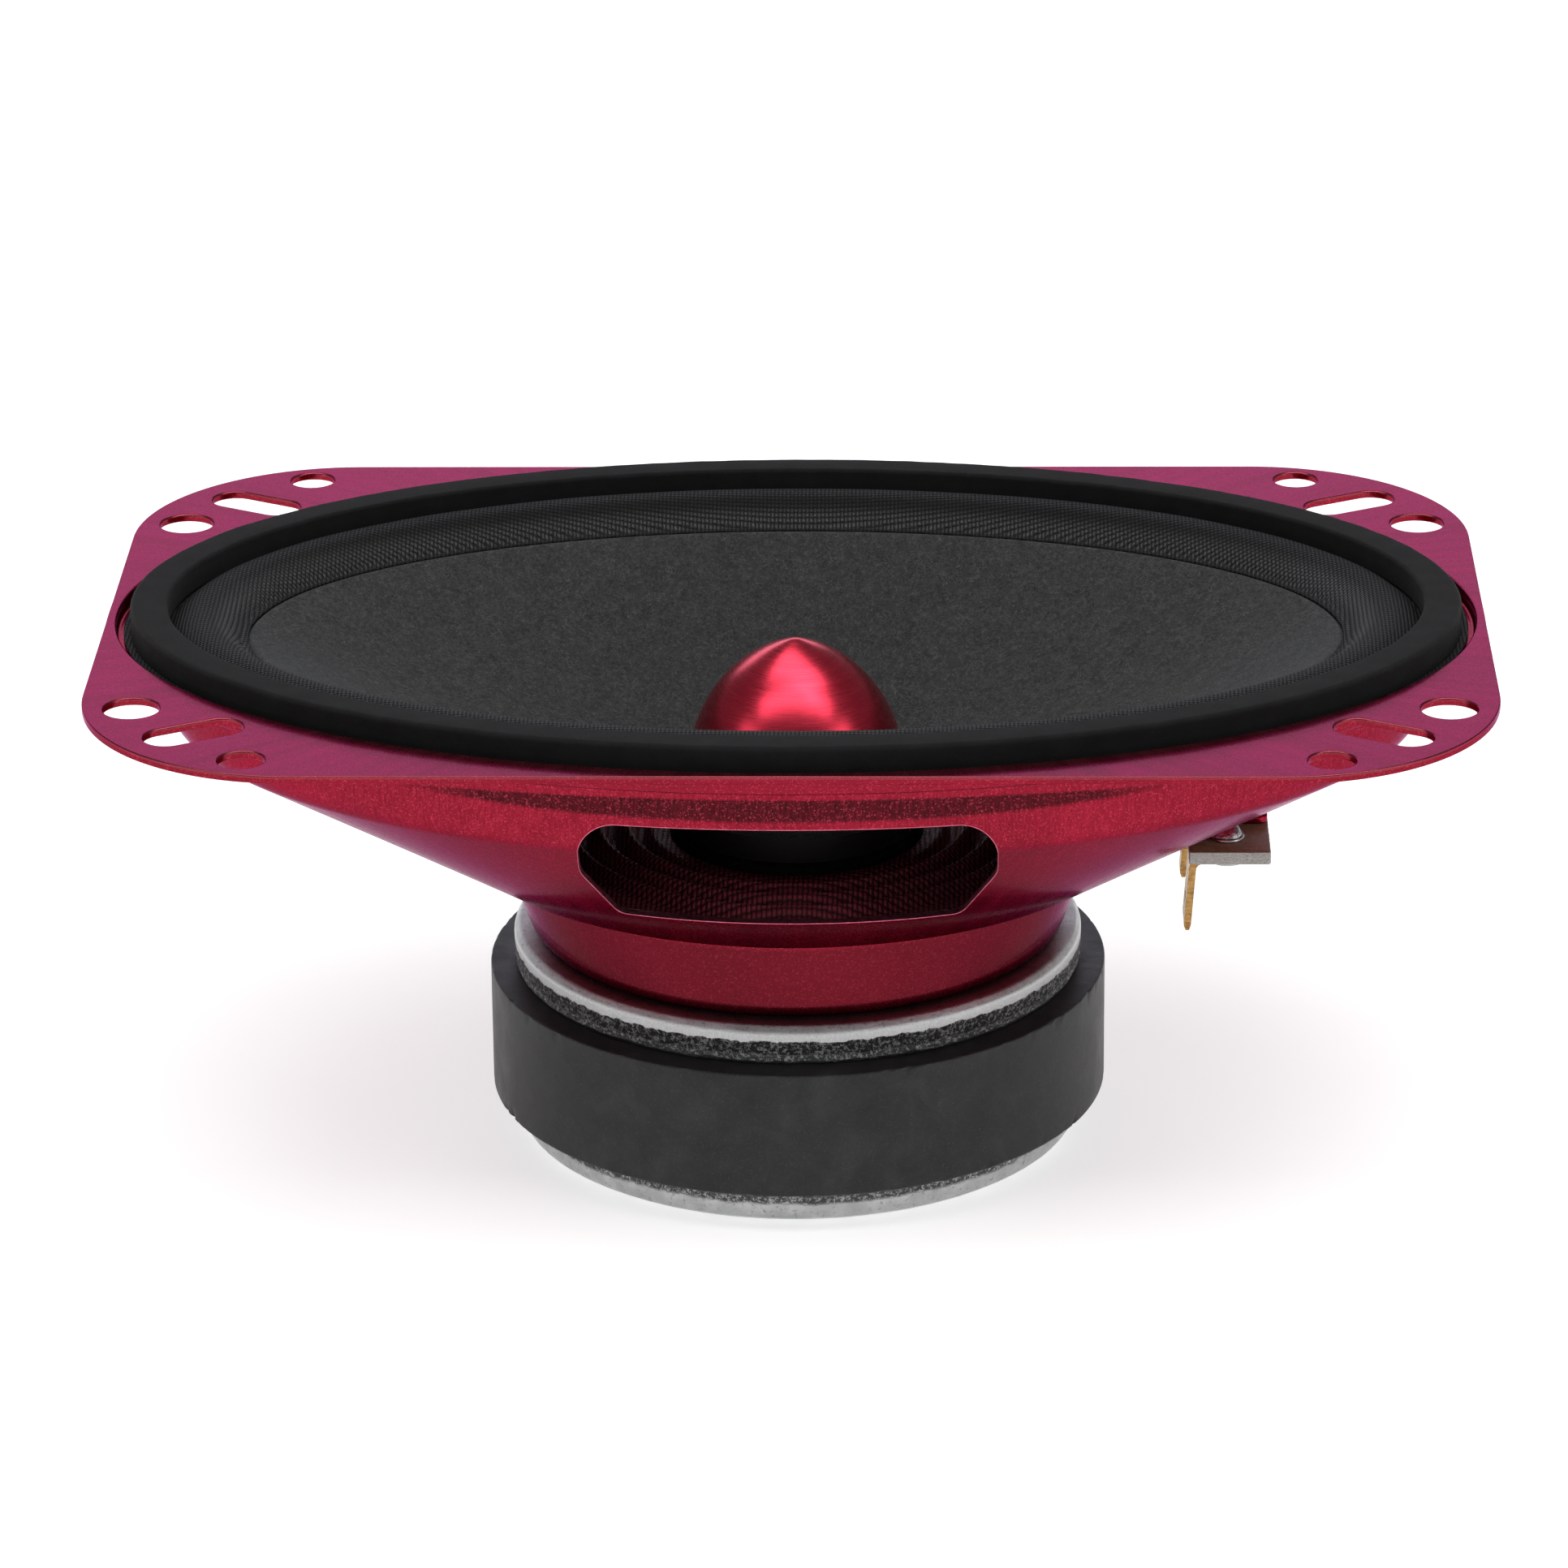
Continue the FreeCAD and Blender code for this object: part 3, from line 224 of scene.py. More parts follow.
def anodised():
    g = Mat("red_anodised", Metallic=1.0, Anisotropic=0.05, Anisotropic_Rotation=0.25, Coat_Weight=0.06, Coat_Roughness=0.25)
    x, y, z = g.xyz(g.mm)
    turned = g.noise(g.comb(g.math("MULTIPLY", x, 0.02), g.math("MULTIPLY", y, 0.02), z), 11.0, 3, 0.7)
    soft = g.noise(g.comb(g.math("MULTIPLY", x, 0.05), g.math("MULTIPLY", y, 0.05), z), 1.6, 2, 0.5)
    g.set("Base Color", g.ramp(g.math("ADD", g.math("MULTIPLY", turned, 0.6), g.math("MULTIPLY", soft, 0.4)),
                               [(0.3, (0.62, 0.028, 0.058)), (0.7, (0.84, 0.050, 0.092))]))
    g.set("Roughness", g.rng(turned, 0.3, 0.7, 0.24, 0.31))
    g.set("Normal", g.bump(turned, 0.12, 0.015, g.bump(g.noise(g.mm, 14.0, 1, 0.5), 0.04, 0.01)))
    tan = g.node("ShaderNodeTangent", {}, direction_type="RADIAL", axis="Z").outputs[0]
    g.set("Tangent", tan)
    return g.m


def zinc(name, z0, z1, r_edge, bands):
    """Zinc plated plate blanked in a press.  bands: heights (0 bottom to 1 top)
    where the rough light band, the torn dark band and the burnished band start
    and end on the cut edge."""
    g = Mat(name, Metallic=1.0)
    x, y, z = g.xyz(g.mm)
    h = g.rng(z, z0, z1, 0.0, 1.0)
    rag = g.math("MULTIPLY", g.math("SUBTRACT", g.noise(g.mm, 0.55, 5, 0.72), 0.5), 0.30)
    hh = g.math("ADD", h, rag)
    a, b_, c, d = bands
    torn = g.math("MULTIPLY", g.rng(hh, b_ - 0.015, b_ + 0.015, 0.0, 1.0), g.rng(hh, c - 0.012, c + 0.012, 1.0, 0.0))
    lowb = g.math("MULTIPLY", g.rng(hh, a - 0.03, a + 0.03, 0.0, 1.0), g.rng(hh, b_ - 0.015, b_ + 0.015, 1.0, 0.0))
    burn = g.math("MULTIPLY", g.rng(hh, c - 0.012, c + 0.012, 0.0, 1.0), g.rng(hh, d - 0.02, d + 0.02, 1.0, 0.0))
    rad = g.math("SQRT", g.math("ADD", g.math("MULTIPLY", x, x), g.math("MULTIPLY", y, y)))
    edge = g.rng(rad, r_edge - 0.9, r_edge - 0.6, 0.0, 1.0)
    torn, burn, lowb = (g.math("MULTIPLY", v, edge) for v in (torn, burn, lowb))
    grain = g.noise(g.mm, 4.0, 5, 0.72)
    chips = g.rng(g.noise(g.mm, 2.2, 5, 0.85), 0.51, 0.57, 0.0, 1.0)
    big = g.noise(g.mm, 0.4, 3, 0.6)
    col = g.ramp(big, [(0.3, (0.36, 0.363, 0.366)), (0.7, (0.50, 0.50, 0.508))])
    spots = g.rng(g.noise(g.mm, 1.7, 5, 0.75), 0.56, 0.66, 0.0, 1.0)
    col = g.mix(g.math("MULTIPLY", spots, 0.65), col, (0.12, 0.12, 0.123))
    dark = g.mix(g.math("MULTIPLY", chips, 0.75), (0.030, 0.030, 0.032), (0.42, 0.42, 0.42))
    col = g.mix(torn, col, dark)
    col = g.mix(lowb, col, g.mix(chips, (0.10, 0.10, 0.103), (0.60, 0.60, 0.60)))
    col = g.mix(burn, col, g.ramp(grain, [(0.3, (0.36, 0.36, 0.362)), (0.7, (0.54, 0.54, 0.543))]))
    g.set("Base Color", col)
    rough = g.rng(grain, 0.3, 0.7, 0.24, 0.42)
    rough = g.mixf(g.math("ADD", torn, lowb, clamp=True), rough, 0.5)
    rough = g.mixf(burn, rough, g.rng(grain, 0.3, 0.7, 0.30, 0.40))
    g.set("Roughness", rough)
    ripple = g.noise(g.mm, 2.6, 5, 0.8)
    amt = g.math("ADD", g.math("ADD", torn, lowb), 0.22)
    fine = g.bump(grain, 0.3, 0.05)
    g.set("Normal", g.bump(g.math("MULTIPLY", ripple, amt), 0.9, 0.35, fine))
    return g.m


def ferrite():
    g = Mat("ferrite", Metallic=0.0)
    g.set("Specular IOR Level", 0.20)
    x, y, z = g.xyz(g.mm)
    m1 = g.noise(g.mm, 0.22, 5, 0.6, 0.4)
    m2 = g.noise(g.mm, 3.5, 4, 0.65)
    col = g.ramp(m1, [(0.28, (0.013, 0.0135, 0.014)), (0.52, (0.021, 0.0215, 0.022)), (0.75, (0.034, 0.0345, 0.0345))])
    col = g.mix(g.rng(m2, 0.55, 0.75, 0.0, 0.35), col, (0.075, 0.076, 0.075))
    # fine scratches left by grinding and handling
    sc = g.noise(g.comb(g.math("MULTIPLY", x, 0.25), g.math("MULTIPLY", y, 0.25), z), 2.3, 6, 0.8, 1.2)
    ridge = g.math("ABSOLUTE", g.math("SUBTRACT", sc, 0.5))
    scratch = g.rng(ridge, 0.0, 0.012, 1.0, 0.0)
    scratch = g.math("MULTIPLY", scratch, g.rng(g.noise(g.mm, 0.35, 2, 0.5), 0.5, 0.62, 0.0, 1.0))
    col = g.mix(g.math("MULTIPLY", scratch, 0.4), col, (0.012, 0.012, 0.012))
    # pale dust pits
    pit = g.voronoi(g.mm, 1.1)
    dust = g.rng(pit, 0.03, 0.07, 1.0, 0.0)
    dust = g.math("MULTIPLY", dust, g.rng(m1, 0.45, 0.6, 0.0, 1.0))
    col = g.mix(g.math("MULTIPLY", dust, 0.5), col, (0.16, 0.155, 0.15))
    g.set("Base Color", col)
    g.set("Roughness", g.rng(m1, 0.3, 0.7, 0.38, 0.52))
    b = g.bump(g.noise(g.mm, 7.0, 4, 0.7), 0.22, 0.05)
    b = g.bump(scratch, 0.35, -0.03, b)
    g.set("Normal", g.bump(m1, 0.25, 0.25, b))
    return g.m


def foam():
    g = Mat("foam", Metallic=0.0, Sheen_Weight=0.03, Sheen_Roughness=0.6)
    g.set("Specular IOR Level", 0.18)
    cell = g.voronoi(g.mm, 4.2)
    tiny = g.noise(g.mm, 9.0, 4, 0.7)
    patch = g.noise(g.mm, 0.3, 3, 0.5)
    col = g.ramp(tiny, [(0.3, (0.0022, 0.0022, 0.0024)), (0.7, (0.0068, 0.0068, 0.0071))])
    col = g.mix(g.rng(patch, 0.35, 0.7, 0.0, 0.35), col, (0.012, 0.012, 0.0125))
    speck = g.math("MULTIPLY", g.rng(g.voronoi(g.mm, 1.5), 0.035, 0.06, 1.0, 0.0), g.rng(tiny, 0.5, 0.6, 0.0, 1.0))
    col = g.mix(g.math("MULTIPLY", speck, 0.55), col, (0.16, 0.16, 0.17))
    g.set("Base Color", col)
    g.set("Roughness", g.rng(tiny, 0.3, 0.7, 0.82, 0.97))
    b = g.bump(g.rng(cell, 0.0, 0.35, 0.0, 1.0), 0.35, 0.10)
    g.set("Normal", g.bump(tiny, 0.5, 0.08, b))
    return g.m


def weave(name, pitch, dark, light, rough=(0.55, 0.75), sheen=0.25, spec=0.4, bump=0.5, depth=0.09, foot=None):
    """Plain weave whose threads run along the UV map's two directions (in mm)."""
    g = Mat(name, Metallic=0.0, Sheen_Weight=sheen, Sheen_Roughness=0.45)
    g.set("Specular IOR Level", spec)
    uv = g.vmath("MULTIPLY", g.tc.outputs["UV"], (1.0, 1.0, 0.0))
    wob = g.noise(uv, 0.35, 2, 0.5, out=1)
    uv = g.vmath("ADD", uv, g.vmath("MULTIPLY", g.vmath("SUBTRACT", wob, (0.5, 0.5, 0.5)), (0.10, 0.10, 0.0)))
    u, v, _ = g.xyz(uv)
    k = math.pi / pitch
    su, sv = g.math("SINE", g.math("MULTIPLY", u, k)), g.math("SINE", g.math("MULTIPLY", v, k))
    # warp over weft on every second crossing
    over = g.rng(g.math("MULTIPLY", su, sv), -0.25, 0.25, 0.0, 1.0)
    warp = g.math("ABSOLUTE", g.math("COSINE", g.math("MULTIPLY", u, k)))
    warp = g.math("SQRT", g.math("SUBTRACT", 1.0, g.math("MULTIPLY", warp, warp), clamp=True))
    weft = g.math("ABSOLUTE", g.math("COSINE", g.math("MULTIPLY", v, k)))
    weft = g.math("SQRT", g.math("SUBTRACT", 1.0, g.math("MULTIPLY", weft, weft), clamp=True))
    hi_a = g.math("MULTIPLY", warp, g.rng(weft, 0.0, 1.0, 0.45, 1.0))
    hi_b = g.math("MULTIPLY", weft, g.rng(warp, 0.0, 1.0, 0.45, 1.0))
    height = g.mixf(over, hi_a, hi_b)
    twist = g.noise(g.mm, 6.0, 3, 0.6)
    blot = g.noise(uv, 0.12, 3, 0.55)
    col = g.mix(g.math("MULTIPLY", height, g.rng(twist, 0.2, 0.8, 0.75, 1.25), clamp=True), dark, light)
    col = g.mix(g.rng(blot, 0.35, 0.7, 0.0, 0.3), col, dark)
    rr = g.rng(g.math("ADD", height, g.math("MULTIPLY", twist, 0.4)), 0.2, 1.3, rough[1], rough[0])
    if foot:
        # painted shade and painted glints at the roll's inner foot: a dark band just outside the foot for the shaded
        # valley, and bright sparkle on the thread crests along the foot, which is also given its own roughness
        x, y, _ = g.xyz(g.mm)
        e = g.math("SQRT", g.math("ADD", g.math("POWER", g.math("DIVIDE", g.math("ABSOLUTE", x), foot[0]), 2.0), g.math("POWER", g.math("DIVIDE", g.math("ABSOLUTE", y), foot[1]), 2.0)))
        ring = g.math("MULTIPLY", g.rng(e, 0.992, 1.004, 0.0, 1.0), g.rng(e, 1.022, 1.050, 1.0, 0.0))
        valley_shade = g.math("MULTIPLY", g.rng(e, 1.03, 1.06, 0.0, 1.0), g.rng(e, 1.075, 1.12, 1.0, 0.0))
        col = g.mix(g.math("MULTIPLY", valley_shade, 0.7), col, (0.0012, 0.0012, 0.0013))
        painted_glint = g.math("MULTIPLY", g.math("POWER", height, 2.0), g.rng(twist, 0.35, 0.6, 0.25, 1.0))
        col = g.mix(g.math("MULTIPLY", ring, painted_glint, clamp=True), col, (0.085, 0.085, 0.087))
        rr = g.mixf(ring, rr, 0.45)
    g.set("Base Color", col)
    g.set("Roughness", rr)
    b = g.bump(height, bump, depth)
    g.set("Normal", g.bump(twist, 0.25, 0.03, b))
    return g.m


def paper():
    """Dark felted paper: short pale fibres lying every way over a mottled ground."""
    g = Mat("paper", Metallic=0.0, Sheen_Weight=0.06, Sheen_Roughness=0.5)
    g.set("Specular IOR Level", 0.25)
    fib = None
    for k, (sc, w) in enumerate(((0.85, 0.014), (1.3, 0.016), (0.55, 0.010), (1.9, 0.018))):
        at = g.vmath("ADD", g.mm, (31.0 * k, 17.0 * k, 7.0 * k))
        n = g.noise(at, sc, 3, 0.6, 1.6)
        f = g.rng(g.math("ABSOLUTE", g.math("SUBTRACT", n, 0.5)), 0.0, w, 1.0, 0.0)
        cutm = g.rng(g.noise(at, sc * 1.3, 2, 0.5), 0.44, 0.54, 0.0, 1.0)
        f = g.math("MULTIPLY", f, cutm)
        fib = f if fib is None else g.math("MAXIMUM", fib, f)
    mott = g.noise(g.mm, 0.5, 6, 0.75)
    fine = g.noise(g.mm, 3.2, 5, 0.75)
    col = g.ramp(mott, [(0.34, (0.0062, 0.0065, 0.0065)), (0.66, (0.0225, 0.0232, 0.0229))])
    col = g.mix(g.rng(fine, 0.44, 0.66, 0.0, 0.75), col, (0.044, 0.0455, 0.045))
    col = g.mix(g.math("MULTIPLY", fib, 0.85), col, (0.115, 0.118, 0.115))
    g.set("Base Color", col)
    g.set("Roughness", g.rng(fine, 0.3, 0.7, 0.68, 0.88))
    bb = g.bump(fib, 0.5, 0.06)
    bb = g.bump(fine, 0.6, 0.08, bb)
    g.set("Normal", g.bump(mott, 0.4, 0.15, bb))
    return g.m


def plain(name, lo, hi, scale=1.2, metallic=0.0, rough=(0.4, 0.55), bump=0.2, depth=0.04, detail=4, **kw):
    """Mottled single finish for small pieces."""
    g = Mat(name, Metallic=metallic, **kw)
    n = g.noise(g.mm, scale, detail, 0.6)
    f = g.noise(g.mm, scale * 6, 3, 0.6)
    g.set("Base Color", g.ramp(g.math("ADD", g.math("MULTIPLY", n, 0.7), g.math("MULTIPLY", f, 0.3)), [(0.32, lo), (0.68, hi)]))
    g.set("Roughness", g.rng(n, 0.3, 0.7, rough[0], rough[1]))
    g.set("Normal", g.bump(f, bump, depth, g.bump(n, bump, depth * 2)))
    return g.m


def board_mat():
    """Resin-bonded paper board: brown skin, pale mottled sawn edge in layers."""
    g = Mat("board", Metallic=0.0)
    x, y, z = g.xyz(g.mm)
    nz = g.xyz(g.node("ShaderNodeNewGeometry", {}).outputs["Normal"])[2]
    side = g.rng(g.math("ABSOLUTE", nz), 0.4, 0.8, 1.0, 0.0)
    n = g.noise(g.mm, 1.6, 4, 0.65)
    f = g.noise(g.comb(x, y, g.math("MULTIPLY", z, 4.0)), 3.2, 4, 0.7)
    top = g.ramp(n, [(0.3, (0.19, 0.17, 0.095)), (0.7, (0.33, 0.30, 0.185))])
    edge = g.ramp(f, [(0.3, (0.20, 0.19, 0.17)), (0.5, (0.38, 0.37, 0.35)), (0.72, (0.60, 0.59, 0.57))])
    g.set("Base Color", g.mix(side, top, edge))
    g.set("Roughness", g.mixf(side, 0.38, 0.85))
    g.set("Normal", g.bump(f, g.mixf(side, 0.08, 0.8), 0.12))
    return g.m


def brass_mat():
    g = Mat("brass", Metallic=1.0)
    x, y, z = g.xyz(g.mm)
    n = g.noise(g.mm, 1.1, 4, 0.6)
    line = g.noise(g.comb(g.math("MULTIPLY", x, 0.2), g.math("MULTIPLY", y, 0.2), z), 5.5, 3, 0.7)
    col = g.ramp(n, [(0.3, (0.26, 0.14, 0.045)), (0.7, (0.46, 0.275, 0.10))])
    col = g.mix(g.rng(line, 0.5, 0.7, 0.0, 0.75), col, (0.10, 0.058, 0.028))
    g.set("Base Color", col)
    g.set("Roughness", g.rng(line, 0.3, 0.7, 0.25, 0.45))
    g.set("Normal", g.bump(line, 0.35, 0.05))
    return g.m


MAT = {
    "red_metal": crimson(),
    "red_anodised": anodised(),
    "zinc_top": zinc("zinc_top_plate", 19.4, 24.0, 32.25, (0.10, 0.26, 0.60, 0.86)),
    "zinc_back": zinc("zinc_back_plate", 0.0, 4.75, 32.1, (0.55, 0.72, 0.86, 0.97)),
    "ferrite": ferrite(),
    "foam": foam(),
    "woven_cloth": weave("woven_cloth", 0.45, (0.0004, 0.0004, 0.0005), (0.021, 0.0212, 0.0218), rough=(0.42, 0.85), sheen=0.0, spec=0.26, bump=1.0, depth=0.22, foot=(62.1, 34.9)),
    "paper": paper(),
    # spider cloth: its bright crimson colour is painted light, standing in for the red light bounced off the basket
    # walls inside the bowl
    "spider_cloth": weave("spider_cloth", 0.56, (0.004, 0.0004, 0.0008), (0.80, 0.105, 0.16), rough=(0.4, 0.7), sheen=0.02, spec=0.5, bump=1.0, depth=0.22),
    "polyimide": plain("polyimide", (0.07, 0.03, 0.012), (0.12, 0.055, 0.022), rough=(0.25, 0.35)),
    # voice coil collar: painted near black, standing in for the shade under the cone's neck
    "kraft": plain("kraft", (0.010, 0.008, 0.007), (0.022, 0.017, 0.015), rough=(0.5, 0.7)),
    "copper": plain("copper", (0.42, 0.13, 0.05), (0.60, 0.23, 0.10), 4.0, 1.0, (0.25, 0.4)),
    "adhesive": plain("adhesive", (0.008, 0.008, 0.008), (0.018, 0.018, 0.019), rough=(0.15, 0.3), bump=0.3),
    "board": board_mat(),
    "brass": brass_mat(),
    "steel": plain("steel", (0.42, 0.42, 0.43), (0.62, 0.62, 0.63), 1.5, 1.0, (0.22, 0.38)),
    "solder": plain("solder", (0.05, 0.05, 0.052), (0.88, 0.88, 0.89), 0.9, 1.0, (0.08, 0.22), 0.5, 0.12),
    # window cut edges: a paler pink that paints a highlight along the edge
    "red_edge_highlight": plain("red_edge_highlight", (0.42, 0.06, 0.11), (0.74, 0.19, 0.28), 1.5, 0.9, (0.26, 0.38)),
    "tinsel": plain("tinsel", (0.35, 0.14, 0.06), (0.62, 0.33, 0.18), 5.0, 1.0, (0.3, 0.45)),
    "black_lacquer": plain("black_lacquer", (0.008, 0.006, 0.007), (0.02, 0.012, 0.015), 0.8, 0.0, (0.12, 0.25), 0.3, 0.05),
}


# ------------------------------------------------------------------ meshes --
class Geo:
    """Collects points (mm) and faces, then makes one object."""

    def __init__(self):
        self.p, self.f, self.m, self.uv, self.n = [], [], [], [], 0

    def add(self, pts, uv=None):
        pts = np.asarray(pts, float).reshape(-1, 3)
        self.p.append(pts)
        self.uv.append(pts[:, :2].copy() if uv is None else np.asarray(uv, float).reshape(-1, 2))
        base = self.n
        self.n += len(pts)
        return np.arange(base, base + len(pts))

    def strip(self, a, b, closed=True, mat=0, flip=False):
        """Quads between two rows with the same number of points."""
        k = len(a) if closed else len(a) - 1
        i = np.arange(k)
        j = (i + 1) % len(a)
        q = np.stack([a[i], a[j], b[j], b[i]], 1)
        self.f.extend((q[:, ::-1] if flip else q).tolist())
        self.m.extend([mat] * k)

    def grid(self, rows, closed=True, mat=0, flip=False):
        for a, b in zip(rows, rows[1:]):
            self.strip(a, b, closed, mat, flip)

    def fan(self, row, tip, mat=0, flip=False):
        for i in range(len(row)):
            t = [int(row[i]), int(row[(i + 1) % len(row)]), int(tip)]
            self.f.append(t[::-1] if flip else t)
            self.m.append(mat)

    def tris(self, t, mat=0):
        self.f.extend([[int(x) for x in q] for q in t])
        self.m.extend([mat] * len(t))

    def make(self, name, body, mats, nodes=(), weld=True, sharp=None, area_normals=True):
        p = np.concatenate(self.p) * MM
        uv = np.concatenate(self.uv)
        f, m = self.f, self.m
        if weld:
            key = np.round(p / 2e-7).astype(np.int64)
            _, first, inv = np.unique(key, axis=0, return_index=True, return_inverse=True)
            inv = inv.reshape(-1)
            order = np.argsort(first, kind="stable")
            rank = np.empty_like(order)
            rank[order] = np.arange(len(order))
            p, uv = p[first[order]], uv[first[order]]
            idx = rank[inv]
            nf, nm = [], []
            for q, w in zip(f, m):
                r = []
                for k in q:
                    k = int(idx[k])
                    if k not in r:
                        r.append(k)
                if len(r) > 2:
                    nf.append(r)
                    nm.append(w)
            f, m = nf, nm
        me = bpy.data.meshes.new(name)
        me.from_pydata(p.tolist(), [], f)
        me.validate()
        for s in mats:
            me.materials.append(MAT[s])
        if len(me.polygons) == len(m):
            me.polygons.foreach_set("material_index", m)
        o = bpy.data.objects.new(name, me)
        bpy.context.scene.collection.objects.link(o)
        # outward normals, then smooth shading
        import bmesh
        bm = bmesh.new()
        bm.from_mesh(me)
        bmesh.ops.recalc_face_normals(bm, faces=bm.faces)
        bm.to_mesh(me)
        bm.free()
        me.polygons.foreach_set("use_smooth", [True] * len(me.polygons))
        layer = me.uv_layers.new(name="UVMap")
        li = np.zeros(len(me.loops), np.int32)
        me.loops.foreach_get("vertex_index", li)
        layer.data.foreach_set("uv", uv[li].astype(np.float32).ravel())
        if sharp is not None:
            me.set_sharp_from_angle(angle=math.radians(sharp))
        elif area_normals:
            me.calc_loop_triangles()
            t = np.zeros(len(me.loop_triangles) * 3, np.int32)
            me.loop_triangles.foreach_get("vertices", t)
            t = t.reshape(-1, 3)
            n = np.cross(p[t[:, 1]] - p[t[:, 0]], p[t[:, 2]] - p[t[:, 0]])
            vn = np.zeros_like(p)
            for k in range(3):
                np.add.at(vn, t[:, k], n)
            ln = np.linalg.norm(vn, axis=1, keepdims=True)
            vn = np.where(ln > 0, vn / np.maximum(ln, 1e-30), (0, 0, 1))
            me.normals_split_custom_set_from_vertices(vn.tolist())
        me.update()
        if body:
            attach(o, body)
        if nodes:
            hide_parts(*nodes)
        return o


def oval(a, b, z, n, start=0.0):
    th = start + TAU * np.arange(n) / n
    return np.stack([a * np.cos(th), b * np.sin(th), np.full(n, float(z))], 1)


def soften(path, cuts, seg=6):
    """Path of (a, b, z) with each inner corner rounded: cuts[i] is how far from
    the corner the bend starts."""
    path = np.asarray(path, float)
    out = [path[0]]
    for i in range(1, len(path) - 1):
        c = cuts.get(i, 0) if isinstance(cuts, dict) else cuts
        if not c:
            out.append(path[i])
            continue
        p, q, r = path[i - 1], path[i], path[i + 1]
        d0, d1 = np.linalg.norm(p - q), np.linalg.norm(r - q)
        a = q + (p - q) * min(c / d0, 0.49)
        b = q + (r - q) * min(c / d1, 0.49)
        for k in range(seg + 1):
            s = k / seg
            out.append((1 - s) ** 2 * a + 2 * s * (1 - s) * q + s * s * b)
    out.append(path[-1])
    return np.array(out)


def densify(path, step):
    out = [path[0]]
    for p, q in zip(path, path[1:]):
        k = max(1, int(math.ceil(np.linalg.norm(q - p) / step - 1e-9)))
        for i in range(1, k + 1):
            out.append(p + (q - p) * i / k)
    return np.array(out)


def turned(geo, prof, n=160, mat=0, closed=False, cap0=False, cap1=False):
    """Turned piece from a path of (radius, z)."""
    rows = [geo.add(oval(r, r, z, n)) for r, z in prof]
    geo.grid(rows, True, mat)
    if closed:
        geo.strip(rows[-1], rows[0], True, mat)
    if cap0:
        geo.fan(rows[0], geo.add([(0, 0, prof[0][1])])[0], mat, True)
    if cap1:
        geo.fan(rows[-1], geo.add([(0, 0, prof[-1][1])])[0], mat)
    return rows


def rz(pts, cut=0.4, seg=5, close=False):
    """Rounded (radius, z) path."""
    pp = [(r, r, z) for r, z in pts]
    if close:
        pp = [pp[-1]] + pp + [pp[0]]
    s = soften(pp, cut, seg)
    if close:
        s = s[1:-1]
    return [(a, z) for a, _, z in s]


# ------------------------------------------------------------------ basket --
T = 0.9
ZT = 60.6
HX, HY, CR = 77.0, 50.05, 24.5
NB = 720


def rounded_rect(hx, hy, r, step=1.0):
    pts = []
    for sx, sy, a0 in ((1, -1, -90), (1, 1, 0), (-1, 1, 90), (-1, -1, 180)):
        cxx, cyy = sx * (hx - r), sy * (hy - r)
        k = max(8, int(r * math.pi / 2 / step))
        for i in range(k + 1):
            a = math.radians(a0 + 90 * i / k)
            pts.append((cxx + r * math.cos(a), cyy + r * math.sin(a)))
    out = []
    for p, q in zip(pts, pts[1:] + pts[:1]):
        d = math.dist(p, q)
        k = max(1, int(d / step))
        for i in range(k):
            out.append((p[0] + (q[0] - p[0]) * i / k, p[1] + (q[1] - p[1]) * i / k))
    return np.array(out)


def round_poly(pts, radii, step=0.4):
    """Outline through corner points with each corner an arc of its radius."""
    n, out = len(pts), []
    for i in range(n):
        p0, p1, p2 = (np.array(pts[k % n], float) for k in (i - 1, i, i + 1))
        u, v = (p0 - p1) / np.linalg.norm(p0 - p1), (p2 - p1) / np.linalg.norm(p2 - p1)
        half = math.acos(max(-1, min(1, float(u @ v)))) / 2
        d = radii[i] / math.tan(half)
        c = p1 + (u + v) / np.linalg.norm(u + v) * radii[i] / math.sin(half)
        a, b = p1 + u * d, p1 + v * d
        a0, a1 = math.atan2(*(a - c)[::-1]), math.atan2(*(b - c)[::-1])
        da = (a1 - a0 + math.pi) % TAU - math.pi
        k = max(6, int(abs(da) * radii[i] / step))
        for j in range(k + 1):
            t = a0 + da * j / k
            out.append(c + radii[i] * np.array([math.cos(t), math.sin(t)]))
    res = []
    for p, q in zip(out, out[1:] + out[:1]):
        d = np.linalg.norm(q - p)
        if d < 1e-6:
            continue
        k = max(1, int(d / step))
        for i in range(k):
            res.append(p + (q - p) * i / k)
    return np.array(res)


def offset(poly, d):
    """Outline moved out by d (positive grows it)."""
    nxt, prv = np.roll(poly, -1, 0), np.roll(poly, 1, 0)
    t = nxt - prv
    t /= np.linalg.norm(t, axis=1, keepdims=True)
    nrm = np.stack([t[:, 1], -t[:, 0]], 1)
    area = 0.5 * np.sum(poly[:, 0] * nxt[:, 1] - nxt[:, 0] * poly[:, 1])
    return poly + nrm * d * (1 if area > 0 else -1)


def inside(poly, pts):
    """Which points lie inside the outline (even-odd)."""
    x, y = pts[:, 0], pts[:, 1]
    res = np.zeros(len(pts), bool)
    q = np.roll(poly, -1, 0)
    for (x0, y0), (x1, y1) in zip(poly, q):
        if (y0 > y0) or y0 == y1:
            continue
        hit = ((y0 > y) != (y1 > y)) & (x < (x1 - x0) * (y - y0) / (y1 - y0) + x0)
        res ^= hit
    return res


def near(poly, pts):
    """Distance of each point from the outline's corner points."""
    best = np.full(len(pts), 1e9)
    for c in poly:
        best = np.minimum(best, np.hypot(pts[:, 0] - c[0], pts[:, 1] - c[1]))
    return best


